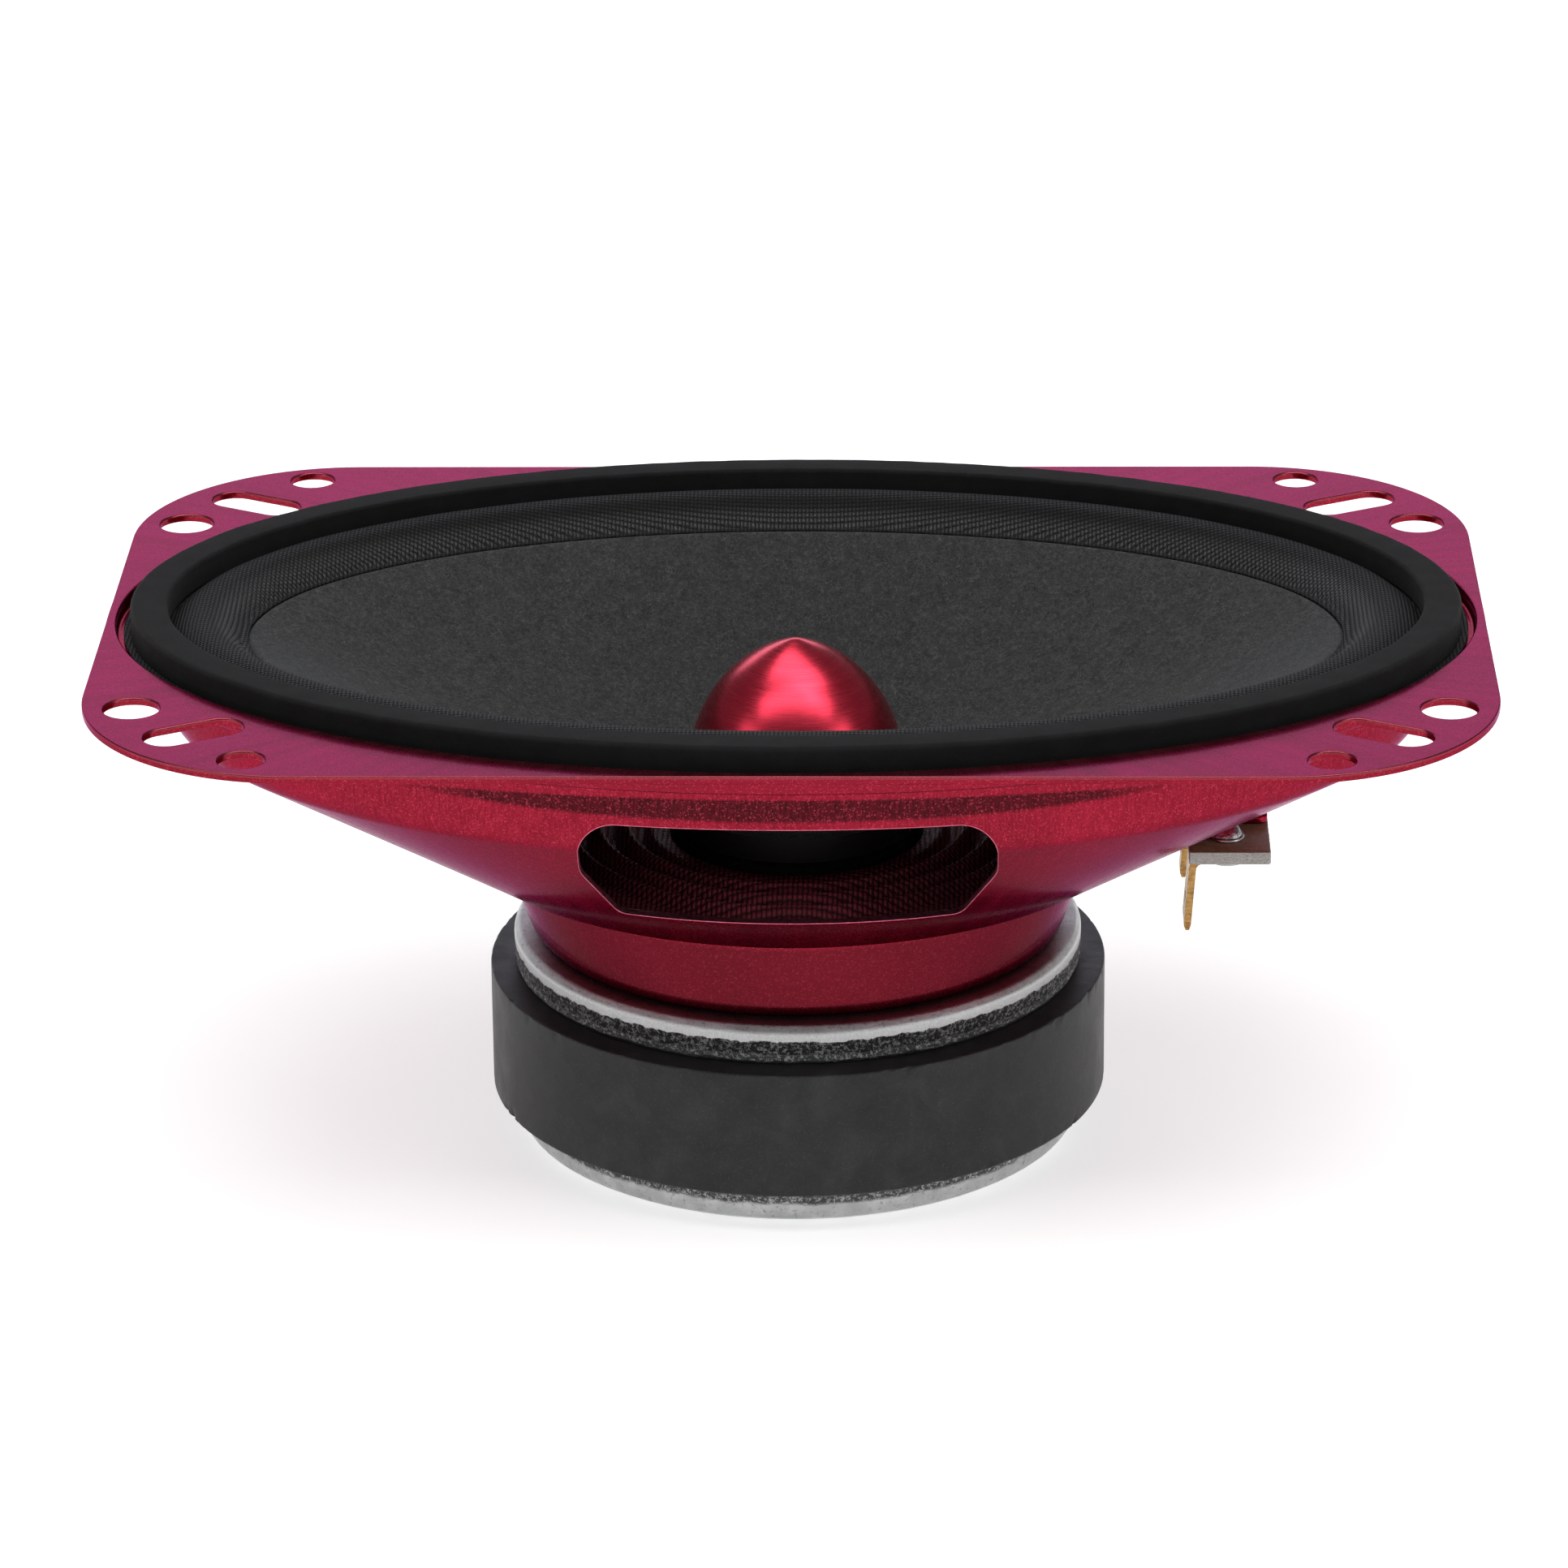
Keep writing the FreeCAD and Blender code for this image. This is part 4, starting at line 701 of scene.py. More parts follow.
def fill(loops, extra):
    """Triangles over loops (first is the outer one, the rest are holes) and extra points."""
    pts, edges, base = [], [], 0
    for lp in loops:
        k = len(lp)
        pts.extend(lp.tolist())
        edges.extend((base + i, base + (i + 1) % k) for i in range(k))
        base += k
    pts.extend(np.asarray(extra, float).reshape(-1, 2).tolist())
    vs, _, fs, orig, _, _ = delaunay_2d_cdt([Vector(p) for p in pts], edges, [], 0, 1e-7)
    xy = np.array([(v.x, v.y) for v in vs])
    src = [o[0] if o else -1 for o in orig]
    tri = np.array([list(f) for f in fs])
    c = xy[tri].mean(1)
    ok = inside(loops[0], c)
    for lp in loops[1:]:
        ok &= ~inside(lp, c)
    tri = tri[ok]
    if min(src[k] for k in tri.ravel()) < 0:
        raise RuntimeError("the outline crosses itself")
    return np.array(src)[tri]


outer_path = soften([
    (76.9, 49.7, 59.7), (76.9, 49.7, 58.2), (70.6, 44.6, 58.2), (70.6, 44.6, 49.6), (36.7, 31.6, 33.2),
    (33.4, 31.5, 33.12), (30.0, 30.0, 24.0), (17.5, 17.5, 24.0)],
    {1: 0.9, 2: 2.6, 3: 2.6, 4: 0.5, 5: 0.35, 6: 1.9}, 8)
inner_path = soften([
    (76.9, 49.7, 60.6), (76.0, 48.8, 60.6), (76.0, 48.8, 59.1), (69.7, 43.7, 59.1), (69.7, 43.7, 50.0),
    (35.7, 30.85, 34.1), (29.3, 29.3, 34.1), (28.6, 28.6, 24.9), (17.5, 17.5, 24.9)],
    {1: 0.45, 2: 0.55, 3: 0.9, 4: 2.6, 5: 0.5, 6: 0.5, 7: 1.2}, 8)
outer_path = densify(outer_path, 1.0)
inner_path = densify(inner_path, 1.0)

WIN = round_poly([(-22.5, 52.2), (22.5, 52.2), (22.5, 44.6), (18.6, 37.5), (-18.6, 37.5), (-22.5, 44.6)],
                 [4.2, 4.2, 4.0, 1.6, 1.6, 4.0], 0.45)
LANCE = round_poly([(-8.2, 40.5), (8.2, 40.5), (8.2, 37.55), (-8.2, 37.55)], [0.9, 0.9, 0.7, 0.7], 0.35)


def bowl_skin(geo, path, openings, depth_sign):
    """Oval skin through the path with openings cut in it.  openings: list of
    (outline, side) where side is 'front', 'back' (outline is x, z, cut along Y)
    or 'right' (outline is y, z, cut along X).  Returns the edge point rows."""
    n = NB
    arc = np.concatenate([[0], np.cumsum(np.linalg.norm(np.diff(path, axis=0), axis=1))])
    th = TAU * np.arange(n) / n
    rows = [geo.add(np.stack([a * np.cos(th), b * np.sin(th), np.full(n, z)], 1)) for a, b, z in path]
    lo, hi = 34.6, 56.0
    mono = np.where((path[:, 2] < 57.5) & (path[:, 2] > 34.15))[0]
    zz, aa, bb, vv = path[mono, 2][::-1], path[mono, 0][::-1], path[mono, 1][::-1], arc[mono][::-1]

    def place(out, side, extra_in=0.0):
        """Points of an outline on this skin, and its (u, v) place for the triangulation."""
        h, z = out[:, 0], out[:, 1]
        a, b, v = np.interp(z, zz, aa), np.interp(z, zz, bb), np.interp(z, zz, vv)
        if side == "right":
            t = np.arcsin(np.clip(h / b, -1, 1))
        else:
            t = np.arccos(np.clip(h / a, -1, 1))
            if side == "front":
                t = TAU - t
        return np.stack([a * np.cos(t), b * np.sin(t), z], 1), np.stack([t * 55.0, v], 1)

    holes = np.zeros((len(path) - 1, n), bool)
    edges = {}
    for out, side in openings:
        big = offset(out, 0.13)
        p3, uv = place(big, side)
        edges[side] = (geo.add(p3), place)
        t0, t1 = uv[:, 0].min() / 55 - 0.05, uv[:, 0].max() / 55 + 0.05
        v0, v1 = uv[:, 1].min() - 1.6, uv[:, 1].max() + 1.6
        r0 = max(int(np.searchsorted(arc, v0)) - 1, 0)
        r1 = min(int(np.searchsorted(arc, v1)), len(path) - 1)
        c0, c1 = int(math.floor(t0 / TAU * n)), int(math.ceil(t1 / TAU * n))
        cols = np.arange(c0, c1 + 1)
        for r in range(r0, r1):
            holes[r, cols[:-1] % n] = True
        gv, gu = np.meshgrid(np.arange(r0, r1 + 1), cols, indexing="ij")
        ids = np.array([[rows[r][c % n] for c in cols] for r in range(r0, r1 + 1)])
        pu, pv = gu * TAU / n * 55.0, arc[gv]
        pts = np.stack([pu, pv], 2)
        nr, nc = ids.shape
        rim = [(0, c) for c in range(nc)] + [(r, nc - 1) for r in range(1, nr)] + \
              [(nr - 1, c) for c in range(nc - 2, -1, -1)] + [(r, 0) for r in range(nr - 2, 0, -1)]
        rim_xy = np.array([pts[i] for i in rim])
        rim_id = [ids[i] for i in rim]
        mid = [(r, c) for r in range(1, nr - 1) for c in range(1, nc - 1)]
        mid_xy = np.array([pts[i] for i in mid])
        mid_id = np.array([ids[i] for i in mid])
        keep = ~inside(uv, mid_xy) & (near(uv, mid_xy) > 0.42)
        tri = fill([rim_xy, uv], mid_xy[keep])
        table = np.concatenate([rim_id, edges[side][0], mid_id[keep]])
        geo.tris(table[tri])
    for r in range(len(path) - 1):
        a, b = rows[r], rows[r + 1]
        j = np.where(~holes[r])[0]
        k = (j + 1) % n
        geo.f.extend(np.stack([a[j], a[k], b[k], b[j]], 1).tolist())
        geo.m.extend([0] * len(j))
    return rows, edges


def make_basket():
    g = Geo()
    cuts = [(WIN, "front"), (WIN, "back"), (LANCE, "right")]
    orow, oedge = bowl_skin(g, outer_path, cuts, 1)
    irow, iedge = bowl_skin(g, inner_path, cuts, -1)
    g.strip(orow[-1], irow[-1])
    for out, side in cuts:
        first, pl_o = oedge[side]
        last, pl_i = iedge[side]
        loops = [first]
        for grow, into in ((0.05, 0.03), (0.012, 0.075), (0.0, 0.14)):
            q, _ = pl_o(offset(out, grow), side)
            d = {"front": (0, 1), "back": (0, -1), "right": (-1, 0)}[side]
            q = q + np.array([d[0] * into, d[1] * into, 0])
            loops.append(g.add(q))
        for grow, into in ((0.0, 0.14), (0.012, 0.075), (0.05, 0.03)):
            q, _ = pl_i(offset(out, grow), side)
            d = {"front": (0, -1), "back": (0, 1), "right": (1, 0)}[side]
            q = q + np.array([d[0] * into, d[1] * into, 0])
            loops.append(g.add(q))
        loops.append(last)
        # the windows' cut edges take material slot 1, a paler pink that paints a highlight along them
        g.grid(loops, mat=0 if side == "right" else 1)
    # flange faces
    outl = rounded_rect(HX, HY, CR)
    holes = []
    for sx in (1, -1):
        for sy in (1, -1):
            for hx, hy, r in ((71.25, 29.9, 3.08), (57.9, 45.2, 2.55)):
                t = TAU * np.arange(72) / 72
                holes.append(np.stack([sx * hx + r * np.cos(t), sy * hy + r * np.sin(t)], 1))
            e, r, ang = 5.65 - 2.6, 2.6, math.radians(28.5 * sx * sy)
            s = []
            for k in range(33):
                t = -math.pi / 2 + math.pi * k / 32
                s.append((e + r * math.cos(t), r * math.sin(t)))
            for k in range(33):
                t = math.pi / 2 + math.pi * k / 32
                s.append((-e + r * math.cos(t), r * math.sin(t)))
            s = np.array(s)
            ca, sa = math.cos(ang), math.sin(ang)
            s = np.stack([s[:, 0] * ca - s[:, 1] * sa + sx * 63.8, s[:, 0] * sa + s[:, 1] * ca + sy * 37.0], 1)
            holes.append(s)
    ell = oval(76.9, 49.7, 0, NB)[:, :2]
    # how much room the outline leaves outside the oval, so that its rounding fits
    room = np.hypot(outl[:, 0] / 76.9, outl[:, 1] / 49.7)
    soft_e = np.clip((room - 1.0) * 40, 0.02, 0.16)[:, None]
    nrm = offset(outl, 1.0) - outl
    level = []
    for z, sgn in ((ZT, -1), (ZT - T, 1)):
        rim = outl - nrm * soft_e
        loops2 = [rim] + [ell]
        hl = [offset(h, 0.22) for h in holes]
        big = np.concatenate([rim, *hl, ell])
        tri = fill([rim, *hl, ell], np.zeros((0, 2)))
        ids = g.add(np.column_stack([big, np.full(len(big), z)]))
        g.tris(ids[tri])
        base = len(rim)
        rows = [ids[:base]]
        for f, dz in ((0.55, 0.12), (0.15, 0.45), (0.0, 1.0)):
            xy = outl - nrm * soft_e * f
            rows.append(g.add(np.column_stack([xy, z + sgn * soft_e[:, 0] * dz])))
        g.grid(rows)
        hr = []
        for h, hh in zip(holes, hl):
            k = len(h)
            r0 = [ids[base:base + k]]
            for grow, dz in ((0.12, 0.03), (0.045, 0.09), (0.0, 0.2)):
                r0.append(g.add(np.column_stack([offset(h, grow), np.full(k, z + sgn * dz)])))
            g.grid(r0)
            hr.append(r0[-1])
            base += k
        level.append((rows[-1], hr))
    (top_rim, top_h), (low_rim, low_h) = level
    g.strip(top_rim, low_rim)
    for a, b in zip(top_h, low_h):
        g.strip(a, b)
    return g.make("basket_pressing", "frame", ["red_metal", "red_edge_highlight"], ["basket"])


basket = make_basket()


# ------------------------------------------------------- terminal tongue ----
def slab(geo, outline, z0, z1, r=0.12, mat=0, bend=None):
    """Flat plate with rounded edges; bend(x, y, z) may move its points."""
    rows = []
    for inset, z in ((r, z0), (r * 0.3, z0 + r * 0.3), (0, z0 + r), (0, z1 - r), (r * 0.3, z1 - r * 0.3), (r, z1)):
        xy = offset(outline, -inset)
        rows.append((xy, z))
    ids = []
    for xy, z in rows:
        p = np.column_stack([xy, np.full(len(xy), float(z))])
        if bend:
            p = bend(p)
        ids.append(geo.add(p))
    geo.grid(ids, True, mat)
    for k in (0, -1):
        xy = rows[k][0]
        geo.tris(ids[k][fill([xy], np.zeros((0, 2)))], mat)


def make_tongue():
    """Lanced tongue: level plate with a rounded free end, its root turned down
    into the wall, and a rivet hole."""
    g = Geo()
    n = 40
    half, z0, z1, x0, x1 = 3.6, 36.5, 37.4, 43.6, 53.1
    o = round_poly([(x0, -half), (x1, -half), (x1, half), (x0, half)], [0.3, 1.2, 1.2, 0.3], 0.3)
    rows = []
    for inset, z in ((0.16, z0), (0.05, z0 + 0.05), (0, z0 + 0.16), (0, z1 - 0.2), (0.05, z1 - 0.06), (0.2, z1)):
        rows.append((offset(o, -inset), z))
    t = TAU * np.arange(36) / 36
    hole = np.stack([50.0 + 1.3 * np.cos(t), 1.3 * np.sin(t)], 1)

    def droop(p):
        p = p.copy()
        d = np.clip(46.6 - p[:, 0], 0, None)
        p[:, 2] -= 0.05 * d ** 2
        return p
    ids = []
    for xy, z in rows:
        ids.append(g.add(droop(np.column_stack([xy, np.full(len(xy), float(z))]))))
    g.grid(ids)
    hid = []
    for z in (z0, z1):
        hid.append(g.add(np.column_stack([hole, np.full(len(hole), float(z))])))
    g.strip(hid[0], hid[1])
    for k, h in ((0, 0), (-1, 1)):
        table = np.concatenate([ids[k], hid[h]])
        g.tris(table[fill([rows[k][0], hole], np.zeros((0, 2)))])
    return g.make("terminal_tongue", "frame", ["red_metal"])


tongue = make_tongue()


def turned_at(g, prof, x, y, n=48, shake=0.0, seed=0.0, tip=False):
    rows = []
    for r, z in prof:
        p = oval(r, r, z, n)
        if shake:
            for k in range(n):
                v = Vector(p[k]) * 0.8 + Vector((seed, 2 * seed, 3))
                p[k, :2] *= 1 + shake * noise.noise(v)
                p[k, 2] += shake * 0.6 * noise.noise(v * 1.3 + Vector((5, 5, 5))) * min(1, r)
        p[:, 0] += x
        p[:, 1] += y
        rows.append(g.add(p))
    g.grid(rows)
    if tip:
        g.fan(rows[-1], g.add([(x, y, prof[-1][1])])[0])
        g.fan(rows[0], g.add([(x, y, prof[0][1])])[0])
    return rows


def terminals():
    # board: sawn edges left a little rough
    g = Geo()
    o = round_poly([(44.0, -12.0), (53.2, -12.0), (53.2, 12.0), (44.0, 12.0)], [0.25, 0.35, 0.35, 0.25], 0.35)
    rows = []
    for inset, z in ((0.10, 35.0), (0.0, 35.12), (0.02, 35.5), (0.0, 35.9), (0.02, 36.3), (0.0, 36.42), (0.10, 36.5)):
        xy = offset(o, -inset)
        jit = np.array([[noise.noise(Vector((q[0] * 2.2, q[1] * 2.2, z * 4))) * 0.05, noise.noise(Vector((q[0] * 2.2, q[1] * 2.2, z * 4 + 9))) * 0.05] for q in xy])
        xy = offset(xy, -0.05) + jit * (0 if z in (35.0, 36.5) else 1)
        rows.append((xy, z))
    ids = [g.add(np.column_stack([xy, np.full(len(xy), float(z))])) for xy, z in rows]
    g.grid(ids)
    for k in (0, -1):
        g.tris(ids[k][fill([rows[k][0]], np.zeros((0, 2)))])
    g.make("terminal_board_sawn", "frame", ["board"], ["terminal_board"])
    # eyelets: rolled flange above, splayed skirt below
    g = Geo()
    for y in (-7.4, 7.4):
        turned_at(g, [(0.4, 36.9), (1.15, 36.95), (1.6, 37.0), (1.88, 36.88), (1.98, 36.68), (1.9, 36.52), (1.2, 36.5), (1.2, 34.0),
                      (1.95, 34.05), (2.0, 33.9), (1.9, 33.74), (1.45, 33.62), (0.95, 33.62), (0.85, 33.9), (0.3, 34.0)], 48.4, y, 48, 0.02, y, True)
    g.make("terminal_eyelets_rolled", "frame", ["steel"], ["terminal_eyelets"])
    g = Geo()
    turned_at(g, [(0.3, 37.86), (0.9, 37.88), (1.5, 37.80), (1.86, 37.62), (1.98, 37.46), (1.9, 37.41), (1.2, 37.41), (1.2, 34.9),
                  (1.95, 34.96), (2.0, 34.8), (1.85, 34.62), (1.4, 34.45), (0.9, 34.42), (0.8, 34.7), (0.3, 34.8)], 50.0, 0.0, 48, 0.02, 4.0, True)
    g.make("board_rivet_rolled", "frame", ["steel"], ["board_rivet"])
    # solder: domes with a wetted foot, pulled up to the wire
    g = Geo()
    for sgn in (-1, 1):
        prof = []
        for k in range(15):
            q = math.pi / 2 * k / 14
            r = 1.72 * math.cos(q) ** 0.75 + 0.10 * (1 - k / 14) ** 6
            z = 36.98 + 1.15 * math.sin(q) ** 1.15
            prof.append((max(r, 0.02), z))
        turned_at(g, prof, 48.4, sgn * 7.4, 40, 0.13, 3.0 * sgn, True)
    pts = g.p
    for p in pts:
        side = -1 if p[0, 1] < 0 else 1
        pull = np.clip((p[:, 2] - 37.0) / 1.3, 0, 1)
        toward = np.clip((48.4 - p[:, 0]) / 1.8, 0, 1)
        p[:, 0] -= 0.55 * toward * (1 - pull * 0.4)
        p[:, 1] += side * -0.12 * toward
    g.make("solder_domes", "frame", ["solder"], ["solder_joints"])
    # coil end joints under the cone
    g = Geo()
    for sgn in (-1, 1):
        x, y = 13.86 * math.cos(math.radians(14)), sgn * 13.86 * math.sin(math.radians(14))
        prof = [(0.05, 36.86), (0.45, 36.98), (0.68, 37.3), (0.74, 37.6), (0.66, 37.95), (0.42, 38.22), (0.05, 38.33)]
        turned_at(g, prof, x, y, 28, 0.10, 7.0 * sgn, True)
    g.make("coil_joint_beads", "cone_assembly", ["solder"], ["coil_solder_joints"])


terminals()


def stranded(name, route, r_all, strands, pitch, nodes, blend_x):
    """Braided tinsel: strands twisted about the line of a smooth spline."""
    cu = bpy.data.curves.new("route", "CURVE")
    cu.dimensions = "3D"
    sp = cu.splines.new("NURBS")
    sp.points.add(len(route) - 1)
    for p, q in zip(sp.points, route):
        p.co = (q[0] * MM, q[1] * MM, q[2] * MM, 1)
    sp.order_u = 3
    sp.use_endpoint_u = True
    sp.resolution_u = 24
    tmp = bpy.data.objects.new("route", cu)
    me = bpy.data.meshes.new_from_object(tmp)
    line = np.array([v.co for v in me.vertices], float) / MM
    bpy.data.meshes.remove(me)
    bpy.data.objects.remove(tmp)
    bpy.data.curves.remove(cu)
    along = np.concatenate([[0], np.cumsum(np.linalg.norm(np.diff(line, axis=0), axis=1))])
    m = int(along[-1] / 0.16)
    at = np.linspace(0, along[-1], m + 1)
    line = np.stack([np.interp(at, along, line[:, k]) for k in range(3)], 1)
    tan = np.gradient(line, axis=0)
    tan /= np.linalg.norm(tan, axis=1, keepdims=True)
    ref = np.array([0.0, 0.0, 1.0])
    u = np.cross(tan, ref)
    u /= np.linalg.norm(u, axis=1, keepdims=True)
    w = np.cross(tan, u)
    g = Geo()
    rs = r_all * 0.52
    for k in range(strands):
        rows = []
        for i in range(m + 1):
            a = TAU * (at[i] / pitch + k / strands)
            c = line[i] + (u[i] * math.cos(a) + w[i] * math.sin(a)) * (r_all - rs)
            q = TAU * np.arange(8) / 8
            rows.append(g.add(c + rs * (np.outer(np.cos(q), u[i]) + np.outer(np.sin(q), w[i]))))
        g.grid(rows)
        for end in (0, -1):
            g.fan(rows[end], g.add([line[end]])[0])
    o = g.make(name, None, ["tinsel"], nodes, weld=False)
    lo, hi = blend_x

    def weight(c):
        s = np.clip((hi - c[:, 0]) / (hi - lo), 0, 1)
        return s * s * (3 - 2 * s)
    return o, weight, float(along[-1])


LEADS = []
for side, label in ((-1, "negative"), (1, "positive")):
    # both ends run on into their solder
    route = [(13.6, side * 3.353, 37.8), (14.17, side * 3.353, 37.9), (21.0, side * 4.2, 39.6), (29.5, side * 5.4, 41.2),
             (37.0, side * 6.5, 40.8), (42.2, side * 6.6, 39.3), (46.9, side * 7.1, 38.4), (48.3, side * 7.38, 37.5)]
    LEADS.append(stranded("tinsel_" + label + "_braid", route, 0.5, 4, 3.2, ["tinsel_lead_" + label], (14.6, 46.0)))


# ------------------------------------------------------------- soft pieces --
def oval_loop_piece(name, body, mats, loop, n, nodes, wob=None, uv_from=None, band=None):
    """Ring whose radial section is a closed loop of (a, b, z)."""
    g = Geo()
    rows = []
    for i, (a, b, z) in enumerate(loop):
        p = oval(a, b, z, n)
        if wob:
            p = wob(p, i)
        rows.append(g.add(p))
    for i in range(len(rows)):
        g.strip(rows[i], rows[(i + 1) % len(rows)], True, band(i) if band else 0)
    return g.make(name, body, mats, nodes)


def gasket():
    """Cut foam ring: top edges rounded by the die, walls slightly wavy."""
    a0, b0, a1, b1, z0, z1 = 74.4, 47.0, 70.2, 43.0, 59.5, 62.66
    sec = [(a1, b1, z0), (a0, b0, z0)]
    out = [(a0 + 0.0, b0 + 0.0, z0 + 0.1), (a0, b0, z0 + 0.8), (a0 - 0.05, b0 - 0.05, z0 + 1.6), (a0 - 0.02, b0 - 0.02, z1 - 0.9)]
    for k in range(7):
        t = math.pi / 2 * k / 6
        out.append((a0 - 0.55 + 0.55 * math.cos(t), b0 - 0.55 + 0.55 * math.cos(t), z1 - 0.55 + 0.55 * math.sin(t)))
    w = a0 - a1
    for k in range(1, 8):
        s = k / 8
        out.append((a0 - 0.55 - (w - 1.0) * s, b0 - 0.55 - (b0 - b1 - 1.0) * s, z1 + 0.03 * math.sin(math.pi * s)))
    for k in range(7):
        t = math.pi / 2 * k / 6
        out.append((a1 + 0.45 - 0.45 * math.sin(t), b1 + 0.45 - 0.45 * math.sin(t), z1 - 0.45 + 0.45 * math.cos(t)))
    out += [(a1 + 0.03, b1 + 0.03, z1 - 1.2), (a1 + 0.06, b1 + 0.06, z0 + 1.2), (a1, b1, z0 + 0.3)]
    loop = sec + out

    def wob(p, i):
        q = p.copy()
        if i > 2:
            for k in range(len(p)):
                v = Vector(p[k])
                d = noise.noise(v * 0.16) * 0.06 + noise.noise(v * 0.7) * 0.035 + noise.noise(v * 2.1) * 0.02
                r = math.hypot(p[k][0], p[k][1])
                q[k, 0] += p[k][0] / r * d
                q[k, 1] += p[k][1] / r * d
                q[k, 2] += (noise.noise(v * 0.35 + Vector((9, 3, 1))) * 0.05) * (1 if p[k][2] > z1 - 0.6 else 0)
                q[k, 2] = min(q[k, 2], 62.7)
        return q
    return oval_loop_piece("foam_gasket_ring", "frame", ["foam"], loop, 900, ["foam_gasket"], wob)


gasket_obj = gasket()


def radial_blend(o, weight):
    """Bakes the piece's placement into its mesh and works out weight(x, y, z in mm)
    at its points, 0 where it would follow one body and 1 where it would follow the other; the weights are not used, so
    the piece does not flex."""
    lo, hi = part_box("surround")
    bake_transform(o)
    co = np.zeros(len(o.data.vertices) * 3, np.float32)
    o.data.vertices.foreach_get("co", co)
    co = co.reshape(-1, 3).astype(float) / MM
    w = np.clip(weight(co), 0, 1)


def surround():
    """Treated cloth: flat land, half roll, strip glued over the cone's rim."""
    ct = 0.4
    z_out, crest, z_in = 59.5, 61.3, 58.28
    oa, ob, ia, ib = 69.9, 42.7, 62.1, 34.9
    up = [(75.2, 48.0, z_out), (73.5, 46.3, z_out), (71.6, 44.4, z_out), (70.6, 43.4, z_out)]
    n_roll = 34
    for i in range(n_roll + 1):
        s = i / n_roll
        base = z_out + (z_in - z_out) * s
        lift = (crest + 0.02 - 0.5 * (z_out + z_in)) * math.sin(math.pi * s) ** 0.78 if 0 < s < 1 else 0
        up.append((oa + (ia - oa) * s, ob + (ib - ob) * s, base + lift))
    up = soften(up, {4: 0.35, len(up) - 1: 0.0}, 3)
    up = [tuple(p) for p in up] + [(61.85, 34.65, z_in), (61.5, 34.3, z_in + 0.005), (61.34, 34.14, z_in - 0.02)]
    low = []
    for j in range(len(up) - 1, -1, -1):
        a, b, z = up[j]
        p, q = up[max(j - 1, 0)], up[min(j + 1, len(up) - 1)]
        dx, dz = q[0] - p[0], q[2] - p[2]
        ln = math.hypot(dx, dz) or 1
        nx, nz = dz / ln, -dx / ln
        if nz < 0:
            nx, nz = -nx, -nz
        low.append((a - nx * ct * 0.9, b - nx * ct * 0.9, z - nz * ct * 0.9))
    loop = up + low
    g = Geo()
    rows = []
    for i, (a, b, z) in enumerate(loop):
        p = oval(a, b, z, 1080)
        if 3 < i < len(up) - 3:
            th = TAU * np.arange(1080) / 1080
            p[:, 2] += 0.018 * np.sin(th * 7 + 1) * math.sin(math.pi * i / len(up)) + 0.01 * np.sin(th * 23)
        rows.append(g.add(p))
    for i in range(len(rows)):
        g.strip(rows[i], rows[(i + 1) % len(rows)])
    o = g.make("surround_cloth", None, ["woven_cloth"], ["surround"])

    def weight(c):
        ka = np.hypot(c[:, 0] / 69.9, c[:, 1] / 42.7)
        # share of the way from the roll's outer foot to its inner foot
        th = np.arctan2(c[:, 1] / 42.7, c[:, 0] / 69.9)
        ro = np.hypot(69.9 * np.cos(th), 42.7 * np.sin(th))
        ri = np.hypot(62.1 * np.cos(th), 34.9 * np.sin(th))
        r = np.hypot(c[:, 0], c[:, 1])
        s = np.clip((ro - r) / (ro - ri), 0, 1)
        return s * s * (3 - 2 * s)
    radial_blend(o, weight)
    return o


for lead_obj, lead_weight, lead_len in LEADS:
    radial_blend(lead_obj, lead_weight)

surround_obj = surround()


def spider():
    g = Geo()
    n = 480
    prof = []
    zb, st, amp = 34.15, 0.42, 0.9
    top, bot = [(13.42, zb + st), (14.3, zb + st)], [(13.42, zb), (14.3, zb)]
    m = 96
    for i in range(m + 1):
        s = i / m
        r = 15.2 + (27.9 - 15.2) * s
        w = amp * math.sin(TAU * 4 * s) * min(1.0, 6 * s, 6 * (1 - s)) + 0.35 * math.sin(math.pi * s)
        top.append((r, zb + st + w))
        bot.append((r, zb + w + 0.02))
    top += [(29.0, zb + st), (30.5, zb + st)]
    bot += [(29.0, zb), (30.5, zb)]
    loop = top + bot[::-1]
    rows = [g.add(oval(r, r, z, n)) for r, z in loop]
    for i in range(len(rows)):
        g.strip(rows[i], rows[(i + 1) % len(rows)])
    o = g.make("spider_cloth_disc", None, ["spider_cloth"], ["spider"])

    def weight(c):
        r = np.hypot(c[:, 0], c[:, 1])
        s = np.clip((27.9 - r) / (27.9 - 15.2), 0, 1)
        return s * s * (3 - 2 * s)
    radial_blend(o, weight)
    return o


spider_obj = spider()


